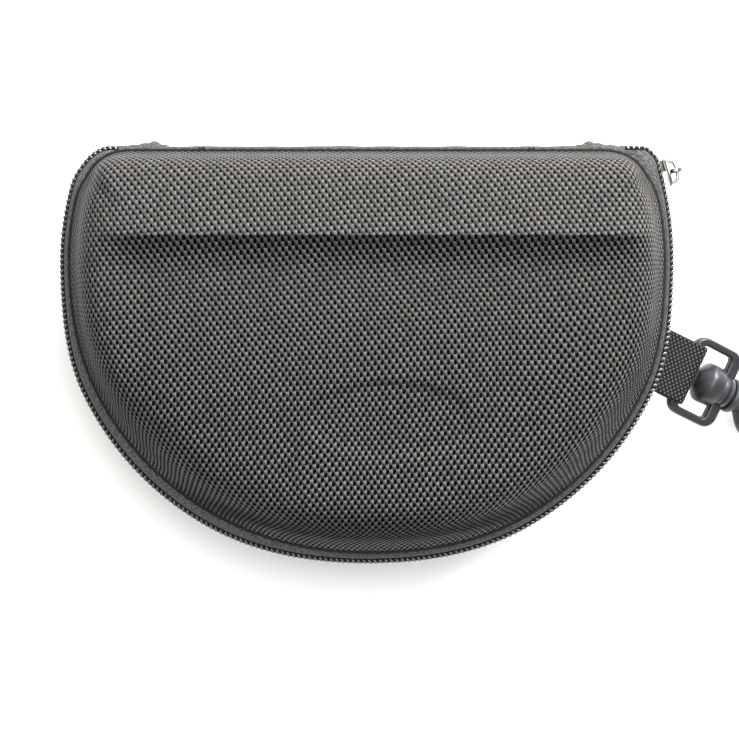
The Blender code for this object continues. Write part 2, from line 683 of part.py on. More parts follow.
def main():
    clear_scene()
    kit = make_kit()
    make_shell("back", BACK_PROFILE, -1, kit)
    lid = make_shell("lid", LID_PROFILE, 1, kit)
    for prefix, side in (("back", -1), ("lid", 1)):
        edge = [make_binding(prefix, side, kit), make_zip_tape(prefix, side, kit),
                make_zip_coil(prefix, side, kit)]
        if side > 0:
            lid += edge
    hinge_strip("hinge_strip_outer", TAPE_PROFILE[1:], kit, "zipper_tape")
    hinge_strip("hinge_strip_inner", INNER_STRIP_PROFILE[::-1], kit, "binding")
    make_end_tab("zipper_end_tab_left", END_TAB_LEFT_X, kit)
    make_end_tab("zipper_end_tab_right", END_TAB_RIGHT_X, kit)
    slider = [make_slider(kit), make_crown(kit)]
    pull = make_pull(kit)
    webbing, _ = make_webbing(kit)
    ring = make_hook_frame(kit)
    hook = [make_hook(kit)]
    gate, pin, spring = make_gate(kit)
    hang_moving_parts(kit, lid, slider, pull, webbing, ring, hook + [pin, spring], gate)


main()
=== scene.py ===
"""Looks of a zip-round headphone case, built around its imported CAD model.

Lengths in this script are in millimetres until a mesh is made, and directions follow the CAD:
+Z up, +Y to the hinge edge, +X to the webbing loop. An inset is measured inwards from the widest
outline of the zip, and a height from the zip's mid-plane, up in the lid and down in the back shell.
"""

import json
import math

import bmesh
import bpy
import numpy as np
from mathutils import Matrix, Vector


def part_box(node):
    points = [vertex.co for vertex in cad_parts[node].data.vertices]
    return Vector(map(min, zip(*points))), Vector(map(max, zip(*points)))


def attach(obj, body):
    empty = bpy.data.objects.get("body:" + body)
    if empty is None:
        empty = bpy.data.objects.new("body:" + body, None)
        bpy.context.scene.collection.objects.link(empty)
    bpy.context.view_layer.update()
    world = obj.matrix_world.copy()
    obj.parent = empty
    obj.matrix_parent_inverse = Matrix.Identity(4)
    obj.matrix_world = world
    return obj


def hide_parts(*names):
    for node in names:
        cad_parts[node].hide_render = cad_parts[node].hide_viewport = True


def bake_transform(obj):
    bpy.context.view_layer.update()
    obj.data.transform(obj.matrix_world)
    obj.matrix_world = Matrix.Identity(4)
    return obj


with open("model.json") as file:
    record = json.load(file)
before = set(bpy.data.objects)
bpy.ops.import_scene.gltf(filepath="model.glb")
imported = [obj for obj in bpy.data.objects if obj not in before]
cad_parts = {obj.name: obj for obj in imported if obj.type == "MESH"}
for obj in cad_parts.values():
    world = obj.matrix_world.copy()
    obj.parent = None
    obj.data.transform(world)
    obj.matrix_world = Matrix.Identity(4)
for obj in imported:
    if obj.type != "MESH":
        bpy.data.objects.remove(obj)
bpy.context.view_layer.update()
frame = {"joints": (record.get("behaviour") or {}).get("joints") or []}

MM = 0.001
TAU = 2.0 * math.pi
UV_MM = 100.0  # one unit of every UV map is this many millimetres of cloth
JOINTS = {joint["name"]: joint for joint in frame["joints"]}


def box_mm(node):
    low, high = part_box(node)
    return np.array(low) / MM, np.array(high) / MM


# The D-shaped outline, from the CAD zip's box: a straight hinge edge, side arcs and a flatter front arc.
LID_COIL_LOW, LID_COIL_HIGH = box_mm("lid_zipper_coil")
BACK_COIL_HIGH = box_mm("back_zipper_coil")[1]
HINGE_Y = float(LID_COIL_HIGH[1])
FRONT_Y = float(LID_COIL_LOW[1])
RIM_Z = float(LID_COIL_LOW[2] + BACK_COIL_HIGH[2]) / 2.0
SIDE_RADIUS, SIDE_CENTRE_X, FRONT_RADIUS = 86.5, 3.5, 95.0
FRONT_CENTRE_Y = FRONT_Y + FRONT_RADIUS
SIDE_CENTRE_Y = FRONT_CENTRE_Y - math.sqrt((FRONT_RADIUS - SIDE_RADIUS) ** 2 - SIDE_CENTRE_X ** 2)
MEET = math.atan2(SIDE_CENTRE_Y - FRONT_CENTRE_Y, SIDE_CENTRE_X)
SHELL_CORNER, LEFT_ZIP_CORNER, OPEN_CORNER = 20.0, 16.0, 9.0
ZIP_END_X = 62.0  # the zip ends on the hinge edge, this far from the middle
SHELL_SWELL = (1.0, 2.3, 0.7)  # how much fuller than its arcs the round side is: left, right and front
ZIP_SWELL = (1.2, 0.2, 0.2)  # how much further the teeth lean out there
SWELL_FLANK, SWELL_FRONT = (2.0, 25.0), (60.0, 90.0)  # degrees below the widest line that each eases over
SWELL_REACH = (45.0, 85.0)  # distances from the middle over which the panel joins in
RIGHT_BULGE, LEFT_BULGE = 1.2, 0.7  # how far the closed zip stands out at its two corners
PAST_TABS = (65.0, 76.0)  # distances from the middle over which that begins
OUTLINE_STEPS = (28, 70, 46, 70, 28)  # facets of the five arcs

# Moulded shells: (inset, height) from the seam up over the wall to the crown of the panel.
LID_PROFILE = ((4.1, 7.6), (4.5, 8.5), (5.5, 10.2), (6.6, 13.0), (7.5, 16.5), (8.6, 20.4), (10.2, 24.0),
               (12.6, 27.1), (16.0, 29.3), (21.0, 30.7), (28.0, 31.4), (38.0, 31.7), (50.0, 31.8))
BACK_PROFILE = ((4.1, 7.6), (4.5, 8.5), (5.2, 10.5), (5.7, 13.5), (6.2, 18.5), (7.2, 24.0), (9.4, 28.6),
                (12.6, 31.2), (16.5, 31.9), (24.0, 32.0), (34.0, 32.0), (50.0, 32.0))
# Along the hinge edge the seam lies further out and the wall stands steeper.
HINGE_PROFILE = ((2.5, 7.6), (2.8, 8.5), (3.4, 10.3), (4.1, 13.2), (4.7, 16.8), (5.5, 20.6), (6.8, 24.2),
                 (9.0, 27.3), (12.6, 29.4), (18.0, 30.5), (28.0, 31.3), (38.0, 31.7), (50.0, 31.8))
SEAM_INSET, HINGE_SEAM_INSET = LID_PROFILE[0][0], HINGE_PROFILE[0][0]
REF_INSET = 8.0  # the outline from which distances across the cloth are counted
CORNER_SHARPNESS = 0.30  # per mm, how tightly the panel's corners follow the outline's
FABRIC, FOAM, LINING = (0.0, 0.8), (1.1, 3.7), (4.0, 4.8)  # depths of the layers' two faces

# Relief of the lid: a step down from the hinge band, and a blank oval recess.
STEP_Y, STEP_DROP, STEP_FALL = 32.6, 4.3, 3.4
SLOPE_DROP, SLOPE_FALL = 2.0, 22.0  # below the step the panel goes on falling, more gently
STEP_LEFT, STEP_RIGHT, STEP_FADE = -61.0, 68.0, 19.0
BAND_TOP_Y, BAND_RISE = 53.0, 1.7  # the band dips behind the wall and rises to the step's crest
RECESS_CENTRE, RECESS_HALF, RECESS_DROP = (6.4, -18.8), (24.0, 11.0), 0.9

# Weave of the outer cloth: one yarn across, one yarn along. The bands below mark where painted shade darkens
# the cloth:
# its front shoulder, the rows below the step and the middle of the panel. Each band eases in over its first two
# places along the cloth and out over its last two.
WEAVE_U, WEAVE_V = 0.972, 1.37
YARN_TURNS = (5.0, 2.6)  # degrees by which the two yarns lean
FRONT_SHOULDER, UNDER_STEP_SHADE = (-61.0, -56.0, -53.0, -42.0), (21.0, 30.0, 31.8, 32.6)
PANEL_MIDDLE = (-42.0, -15.0, 24.0, 33.0)
UNDER_STEP_SHADE_SPAN = (STEP_LEFT - STEP_FADE, STEP_LEFT, STEP_RIGHT, STEP_RIGHT + STEP_FADE)
GAP_SIZE = 0.46  # of a yarn's pitch: the dark gaps between the yarns, painted shade, before they are widened to paint more shade
TAPE_THICK = 0.45
HINGE_STRIP_LONG = 122.0
WELD_REACH = 0.002  # points of a plate that lie closer together than this become one


# ---- meshes


def add_object(name, data):
    item = bpy.data.objects.new(name, data)
    bpy.context.scene.collection.objects.link(item)
    return item


def make_mesh(name, points, faces, material, angle=None, uv=None):
    """A mesh object from points in millimetres, smooth up to an angle in degrees between its faces.

    uv holds one pair in millimetres for each point."""
    mesh = bpy.data.meshes.new(name)
    mesh.from_pydata((np.asarray(points) * MM).tolist(), [], faces)
    if uv is not None:
        corners = np.empty(len(mesh.loops), np.int32)
        mesh.loops.foreach_get("vertex_index", corners)
        layer = mesh.uv_layers.new(name="cloth")
        layer.data.foreach_set("uv", (np.asarray(uv)[corners] / UV_MM).ravel())
    mesh.materials.append(material)
    mesh.shade_smooth()
    if angle is not None:
        mesh.set_sharp_from_angle(angle=math.radians(angle))
    return add_object(name, mesh)


def finish_piece(item, body, slot, *replaced):
    """Bakes a piece's place into its mesh, gives it its body and hides the CAD nodes it stands for; slot is not
    used.
    """
    item.data.transform(item.matrix_world)
    item.matrix_world = Matrix.Identity(4)
    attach(item, body)
    if replaced:
        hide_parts(*replaced)


def strip_faces(rows, columns, closed=False):
    """Quads of a grid of rows by columns points; closed joins the last column to the first."""
    across = columns if closed else columns - 1
    row, column = np.meshgrid(np.arange(rows - 1), np.arange(across), indexing="ij")
    after = (column + 1) % columns
    return np.stack([row * columns + column, row * columns + after,
                     (row + 1) * columns + after, (row + 1) * columns + column], axis=-1).reshape(-1, 4)


def band_mesh(name, rows, uv, material, thickness=TAPE_THICK, flip=False):
    """A sheet through rows of points, with its thickness on the inner side."""
    rows = np.asarray(rows)
    faces = strip_faces(rows.shape[0], rows.shape[1])
    if flip:
        faces = faces[:, ::-1]
    item = make_mesh(name, rows.reshape(-1, 3), faces.tolist(), material, 50.0, np.asarray(uv).reshape(-1, 2))
    solid = item.modifiers.new("thickness", "SOLIDIFY")
    solid.thickness = thickness * MM
    solid.offset = -1.0
    return item


def tube_faces(rings, sides, first=0):
    """Quads round a tube and the polygons that close its two ends, counting points from first."""
    near = [first + side for side in range(sides)]
    far = [index + (rings - 1) * sides for index in near]
    return (strip_faces(rings, sides, closed=True) + first).tolist() + [near[::-1], far]


def tube_points(line, normals, radius, sides):
    """Rings round a line; normals are directions square to it, and radius is one or one per point."""
    tangents = np.gradient(line, axis=0)
    tangents /= np.linalg.norm(tangents, axis=1, keepdims=True)
    first = normals - tangents * (normals * tangents).sum(axis=1, keepdims=True)
    first /= np.linalg.norm(first, axis=1, keepdims=True)
    second = np.cross(tangents, first)
    turn = np.arange(sides) * TAU / sides
    reach = np.broadcast_to(np.asarray(radius, float), (len(line),))[:, None, None]
    ring = np.cos(turn)[None, :, None] * first[:, None, :] + np.sin(turn)[None, :, None] * second[:, None, :]
    return line[:, None, :] + reach * ring


def tube_mesh(name, line, normals, radius, sides, material):
    """A closed tube along a line in millimetres."""
    rings = tube_points(line, normals, radius, sides)
    return make_mesh(name, rings.reshape(-1, 3), tube_faces(len(line), sides), material, 60.0)


def join(name, items):
    """One object out of several that ride together."""
    bpy.context.view_layer.update()
    for item in bpy.context.selected_objects:
        item.select_set(False)
    for item in items:
        item.select_set(True)
    bpy.context.view_layer.objects.active = items[0]
    bpy.ops.object.join()
    items[0].name = name
    items[0].data.name = name
    return items[0]


def plate(name, outlines, half_thick, rounding, matrix, material, steps=4):
    """A flat outline with holes, in millimetres, extruded both ways with rounded edges."""
    curve = bpy.data.curves.new(name, "CURVE")
    curve.dimensions = "2D"
    curve.fill_mode = "BOTH"
    curve.extrude = (half_thick - rounding) * MM
    curve.bevel_depth = rounding * MM
    curve.bevel_resolution = steps
    curve.offset = -rounding * MM
    for outline in outlines:
        spline = curve.splines.new("POLY")
        spline.points.add(len(outline) - 1)
        for point, (x, y) in zip(spline.points, outline):
            point.co = (x * MM, y * MM, 0.0, 1.0)
        spline.use_cyclic_u = True
    curve.materials.append(material)
    shape = add_object(name, curve)
    bpy.context.view_layer.update()
    mesh = bpy.data.meshes.new_from_object(shape.evaluated_get(bpy.context.evaluated_depsgraph_get()))
    bpy.data.objects.remove(shape, do_unlink=True)
    mesh.shade_smooth()
    mesh.set_sharp_from_angle(angle=math.radians(40.0))
    builder = bmesh.new()
    builder.from_mesh(mesh)
    bmesh.ops.remove_doubles(builder, verts=builder.verts, dist=WELD_REACH * MM)
    bmesh.ops.recalc_face_normals(builder, faces=builder.faces)
    builder.to_mesh(mesh)
    builder.free()
    item = add_object(name, mesh)
    item.matrix_world = matrix
    return item


def lathe(name, profile, matrix, material, steps=56):
    """A solid turned about local X from (along, radius) points; its ends are on the axis."""
    profile = np.array(profile)
    turn = np.arange(steps) * TAU / steps
    ring = np.stack([np.zeros(steps), np.cos(turn), np.sin(turn)], axis=1)
    inner = profile[1:-1]
    points = [np.array([profile[0, 0], 0.0, 0.0])]
    points += [np.array([along, 0.0, 0.0]) + radius * spoke for along, radius in inner for spoke in ring]
    points.append(np.array([profile[-1, 0], 0.0, 0.0]))
    faces = []
    for column in range(steps):
        after = (column + 1) % steps
        faces.append((0, 1 + after, 1 + column))
        for row in range(len(inner) - 1):
            low, high = 1 + row * steps, 1 + (row + 1) * steps
            faces.append((low + column, low + after, high + after, high + column))
        last = 1 + (len(inner) - 1) * steps
        faces.append((last + column, last + after, len(points) - 1))
    item = make_mesh(name, points, faces, material, 40.0)
    item.matrix_world = matrix
    return item


def to_world(points, matrix):
    """Points of a local frame as points of the world, both in millimetres."""
    matrix = np.array(matrix)
    return points @ matrix[:3, :3].T + matrix[:3, 3] / MM


def left_of(line):
    """Directions square to a flat line, on its left."""
    tangent = np.gradient(line, axis=0)
    tangent /= np.linalg.norm(tangent, axis=1, keepdims=True)
    return np.column_stack([-tangent[:, 1], tangent[:, 0]])


def alike(direction, line):
    """One and the same direction for each point of a line."""
    return np.repeat([direction], len(line), axis=0)


def arc(centre_x, centre_y, radius, start, end, facets):
    turns = np.linspace(start, end, facets + 1)
    return [(centre_x + radius * math.cos(turn), centre_y + radius * math.sin(turn)) for turn in turns]


def rounded_box(low, high, corner, facets=8):
    """The outline of a box with round corners."""
    quarter = math.pi / 2.0
    centres = ((high[0] - corner, high[1] - corner), (low[0] + corner, high[1] - corner),
               (low[0] + corner, low[1] + corner), (high[0] - corner, low[1] + corner))
    points = []
    for index, (centre_x, centre_y) in enumerate(centres):
        points += arc(centre_x, centre_y, corner, index * quarter, (index + 1) * quarter, facets)
    return points


def smooth_line(points, count):
    """A Catmull-Rom curve through points, resampled at equal steps along its length."""
    points = np.array(points, float)
    padded = np.vstack([2 * points[0] - points[1], points, 2 * points[-1] - points[-2]])
    dense = []
    for index in range(1, len(padded) - 2):
        before, here, after, beyond = padded[index - 1:index + 3]
        for share in np.linspace(0.0, 1.0, 24, endpoint=False):
            square, cube = share ** 2, share ** 3
            dense.append(0.5 * (2 * here + (after - before) * share
                                + (2 * before - 5 * here + 4 * after - beyond) * square
                                + (3 * here - before - 3 * after + beyond) * cube))
    dense.append(points[-1])
    return resample(np.array(dense), count)


def lengths(line):
    return np.concatenate([[0.0], np.cumsum(np.linalg.norm(np.diff(line, axis=0), axis=1))])


def resample(line, count):
    along = lengths(line)
    wanted = np.linspace(0.0, along[-1], count)
    return np.stack([np.interp(wanted, along, line[:, axis]) for axis in range(line.shape[1])], axis=1)


# ---- the outline


def corner_of(inset, corner):
    """Centre of the +X corner arc, and the angle at which it leaves the side arc."""
    centre_y = HINGE_Y - inset - corner
    rise = centre_y - SIDE_CENTRE_Y
    run = math.sqrt((SIDE_RADIUS - inset - corner) ** 2 - rise ** 2)
    return SIDE_CENTRE_X + run, centre_y, math.atan2(rise, run)


def swell(plan, left, right, front):
    """Outward shifts of plan points that make the round side fuller between its flanks and its front."""
    x, down = plan[..., 0], SIDE_CENTRE_Y - plan[..., 1]
    reach = np.hypot(x, down) + 1e-6
    turn = np.degrees(np.arctan2(down, np.abs(x)))
    amount = np.where(x > 0.0, right, left) * smoothstep(turn, *SWELL_FLANK)
    amount = amount + (front - amount) * smoothstep(turn, *SWELL_FRONT)
    return np.stack([x, -down], axis=-1) * (amount * smoothstep(reach, *SWELL_REACH) / reach)[..., None]


def open_outline(inset, left_corner, right_corner):
    """Points and outward normals from the left end of the hinge edge round the front to its right end."""
    left_x, left_y, left_turn = corner_of(inset, left_corner)
    right_x, right_y, right_turn = corner_of(inset, right_corner)
    half, side, front = math.pi / 2.0, SIDE_RADIUS - inset, FRONT_RADIUS - inset
    arcs = (
        ((-left_x, left_y), left_corner, half, math.pi - left_turn),
        ((-SIDE_CENTRE_X, SIDE_CENTRE_Y), side, math.pi - left_turn, math.pi - MEET),
        ((0.0, FRONT_CENTRE_Y), front, -math.pi - MEET, MEET),
        ((SIDE_CENTRE_X, SIDE_CENTRE_Y), side, MEET, right_turn),
        ((right_x, right_y), right_corner, right_turn, half),
    )
    points, normals = [], []
    for (centre, radius, start, end), steps in zip(arcs, OUTLINE_STEPS):
        turn = np.linspace(start, end, steps + 1)[(1 if points else 0):]
        normal = np.stack([np.cos(turn), np.sin(turn)], axis=1)
        points.append(np.array(centre) + radius * normal)
        normals.append(normal)
    points = np.vstack(points)
    return points + swell(points, *SHELL_SWELL), np.vstack(normals)


def zip_line(inset, share=0.0):
    """The zip's line with straight ends along the hinge edge, fuller at its corners than the shell.

    share runs from 0 at the teeth to 1 at the seam, where the tape follows the shell's own corners."""
    left = LEFT_ZIP_CORNER + (SHELL_CORNER - LEFT_ZIP_CORNER) * share - inset
    right = OPEN_CORNER + (SHELL_CORNER - OPEN_CORNER) * share - inset
    points, normals = open_outline(inset, left, right)
    straight = np.linspace(0.0, 1.0, 12, endpoint=False)[:, None]
    start, finish = (np.array([[x, HINGE_Y - inset]]) for x in (-ZIP_END_X, ZIP_END_X))
    points = np.vstack([start + (points[:1] - start) * straight, points,
                        (finish + (points[-1:] - finish) * straight)[::-1]])
    up = alike((0.0, 1.0), straight)
    normals = np.vstack([up, normals, up])
    past_tabs = smoothstep(np.abs(points[:, 0]), *PAST_TABS)
    bulge = np.where(points[:, 0] > 0.0, RIGHT_BULGE * smoothstep(normals[:, 1], 0.0, 0.55),
                     LEFT_BULGE * smoothstep(normals[:, 1], 0.6, 0.95))
    points = points + normals * (bulge * past_tabs * (1.0 - share))[:, None]
    points = points + swell(points, *ZIP_SWELL) * (1.0 - share)
    # No further out than the hinge edge, or the two halves would meet when the lid lies open.
    points[:, 1] = np.minimum(points[:, 1], HINGE_Y - inset)
    return points, normals


def shell_ring(inset):
    """The whole D with its hinge edge, as the shells' rims follow it."""
    corner = max(SHELL_CORNER - inset, 2.5)
    points, normals = open_outline(inset, corner, corner)
    straight = np.linspace(0.0, 1.0, 60)[1:-1, None]
    points = np.vstack([points, points[-1:] + (points[:1] - points[-1:]) * straight, points[:1]])
    up = alike((0.0, 1.0), straight)
    return points, np.vstack([normals, up, normals[:1]])


def seam_ring(inset):
    """The seam's whole way round, set further out along the hinge edge like the shell's own edge."""
    plan, normals = shell_ring(inset)
    outwards = (SEAM_INSET - HINGE_SEAM_INSET) * towards_hinge(normals[:, 1])
    return plan + normals * outwards[:, None], normals


def lifted(plan, height):
    """Plan points with one height, or one for each, above the zip's mid-plane."""
    return np.column_stack([plan, np.broadcast_to(RIM_Z + height, (len(plan),))])


# ---- moulded shells


def smoothstep(value, low, high):
    share = np.clip((value - low) / (high - low), 0.0, 1.0)
    return share * share * (3.0 - 2.0 * share)


def cloth_distance(u, v):
    """Distance of points of the flat cloth from the reference outline, positive outside it.

    Outside it is exact. Inside, the hinge edge and the round sides blend, so no crease shows."""
    corner = SHELL_CORNER - REF_INSET
    corner_x, corner_y, corner_turn = corner_of(REF_INSET, corner)
    across = np.abs(u)
    edge = v - (HINGE_Y - REF_INSET)
    front = np.hypot(across, v - FRONT_CENTRE_Y) - (FRONT_RADIUS - REF_INSET)
    side = np.hypot(across - SIDE_CENTRE_X, v - SIDE_CENTRE_Y) - (SIDE_RADIUS - REF_INSET)
    rounded = np.where(np.arctan2(v - FRONT_CENTRE_Y, across) < MEET, front, side)
    turn = np.arctan2(v - corner_y, across - corner_x)
    in_fan = (turn >= corner_turn) & (turn <= math.pi / 2.0)
    exact = np.where(in_fan, np.hypot(across - corner_x, v - corner_y) - corner, np.maximum(edge, rounded))
    sharp = CORNER_SHARPNESS
    soft = np.logaddexp(sharp * edge, sharp * rounded) / sharp
    return exact + (soft - exact) * smoothstep(-exact, 0.0, 5.0)


def lid_relief(x, y):
    """The step behind the hinge band and the blank oval recess, as heights to add."""
    below = np.maximum(STEP_Y - y, 0.0)
    ends = (smoothstep(x, STEP_LEFT - STEP_FADE, STEP_LEFT)
            * smoothstep(-x, -STEP_RIGHT - STEP_FADE, -STEP_RIGHT))
    eased = smoothstep(below, 0.0, 1.5)
    step = -STEP_DROP * eased * (1.0 - np.exp(-below / STEP_FALL)) * ends
    further = -SLOPE_DROP * (1.0 - np.exp(-below / SLOPE_FALL)) * ends
    rise = np.clip((BAND_TOP_Y - y) / (BAND_TOP_Y - STEP_Y), 0.0, 1.0)
    band = BAND_RISE * (rise ** 2 - 1.0) * ends
    from_centre = np.hypot((x - RECESS_CENTRE[0]) / RECESS_HALF[0], (y - RECESS_CENTRE[1]) / RECESS_HALF[1])
    recess = -RECESS_DROP * (1.0 - smoothstep(from_centre, 0.84, 1.04))
    return step + further + band + recess


def towards_hinge(normal_y):
    """How far a stretch of the outline belongs to the hinge edge, from its outward direction."""
    return smoothstep(normal_y, 0.55, 0.98)


class ShellForm:
    """Maps points of the flat cloth to their places on a moulded half shell."""

    def __init__(self, side, profile, relief=None):
        self.side, self.relief = side, relief
        self.round_table, self.hinge_table = self.table(profile), self.table(HINGE_PROFILE)
        self.reach = float(self.round_table[0][-1])

    @staticmethod
    def table(profile):
        """Distance across the cloth, inset and height along one profile, from deep inside outwards."""
        line = smooth_line(profile, 600)[::-1]
        return REF_INSET - line[0, 0] + lengths(line), line[:, 0], line[:, 1]

    def blended(self, field, slope_u, slope_v):
        """Inset, height and reach where the cloth runs off in the direction of a slope."""
        share = towards_hinge(slope_v / (np.hypot(slope_u, slope_v) + 1e-6))
        made = []
        for index in (1, 2):
            round_part = np.interp(field, self.round_table[0], self.round_table[index])
            hinge_part = np.interp(field, self.hinge_table[0], self.hinge_table[index])
            made.append(round_part + (hinge_part - round_part) * share)
        reach = self.reach + (self.hinge_table[0][-1] - self.reach) * share
        return made[0], made[1], reach

    def slope(self, u, v, step=0.05):
        right, left = cloth_distance(u + step, v), cloth_distance(u - step, v)
        above, below = cloth_distance(u, v + step), cloth_distance(u, v - step)
        return (right - left) / (2.0 * step), (above - below) / (2.0 * step)

    def surface(self, u, v):
        field = cloth_distance(u, v)
        slope_u, slope_v = self.slope(u, v)
        inset, height, _ = self.blended(field, slope_u, slope_v)
        shift = np.where(field < self.round_table[0][0], 0.0, REF_INSET - inset - field)
        x, y = u + slope_u * shift, v + slope_v * shift
        if self.relief is not None:
            height = height + self.relief(x, y) * smoothstep(-field, -15.0, -1.0)
        plan = np.stack([x, y], axis=-1)
        plan = plan + swell(plan, *SHELL_SWELL)
        return np.concatenate([plan, (RIM_Z + self.side * height)[..., None]], axis=-1)

    def normals(self, u, v, step=0.25):
        across = self.surface(u + step, v) - self.surface(u - step, v)
        along = self.surface(u, v + step) - self.surface(u, v - step)
        normal = np.cross(across, along) * self.side
        return normal / np.linalg.norm(normal, axis=-1, keepdims=True)

    def grid(self, pitch):
        """Nodes and quads of the flat cloth, cut to its outline, the edge nodes lying on the edge."""
        margin = float(self.hinge_table[0][-1]) + 2.0
        half_u = SIDE_CENTRE_X + SIDE_RADIUS - REF_INSET + margin
        half_v = (HINGE_Y - FRONT_Y) / 2.0 - REF_INSET + margin
        steps_u, steps_v = math.ceil(half_u / pitch) + 1, math.ceil(half_v / pitch) + 1
        u, v = np.meshgrid(np.arange(-steps_u, steps_u + 1) * pitch, np.arange(-steps_v, steps_v + 1) * pitch)
        field = cloth_distance(u, v)
        slope_u, slope_v = self.slope(u, v)
        reach = self.blended(field, slope_u, slope_v)[2]
        inside = field < reach - 0.35 * pitch
        quads = strip_faces(u.shape[0], u.shape[1])
        quads = quads[inside.ravel()[quads].any(axis=1)]
        used, faces = np.unique(quads, return_inverse=True)
        faces = faces.reshape(-1, 4)
        u, v, slope_u, slope_v = (array.ravel()[used] for array in (u, v, slope_u, slope_v))
        pull = np.where(inside, 0.0, reach - field).ravel()[used]
        return u + slope_u * pull, v + slope_v * pull, faces

    def layer(self, name, depths, pitch, material):
        """One layer of the laminate as a closed shell between two depths under the outer face."""
        u, v, faces = self.grid(pitch)
        points, normals = self.surface(u, v), self.normals(u, v)
        count = len(u)
        edges = np.concatenate([faces[:, [0, 1]], faces[:, [1, 2]], faces[:, [2, 3]], faces[:, [3, 0]]])
        keys = edges[:, 0] * count + edges[:, 1]
        open_edges = edges[~np.isin(keys, edges[:, 1] * count + edges[:, 0])]
        rim = np.stack([open_edges[:, 1], open_edges[:, 0], open_edges[:, 0] + count,
                        open_edges[:, 1] + count], axis=1)
        faces = np.vstack([faces, faces[:, ::-1] + count, rim])
        if self.side < 0:
            faces = faces[:, ::-1]
        both = np.vstack([points - normals * depth for depth in depths])
        uv = np.column_stack([u, v])
        item = make_mesh(name, both, faces.tolist(), material, 55.0, np.vstack([uv, uv]))
        item["cut_area"] = float(len(u)) * pitch * pitch
        return item


# ---- materials


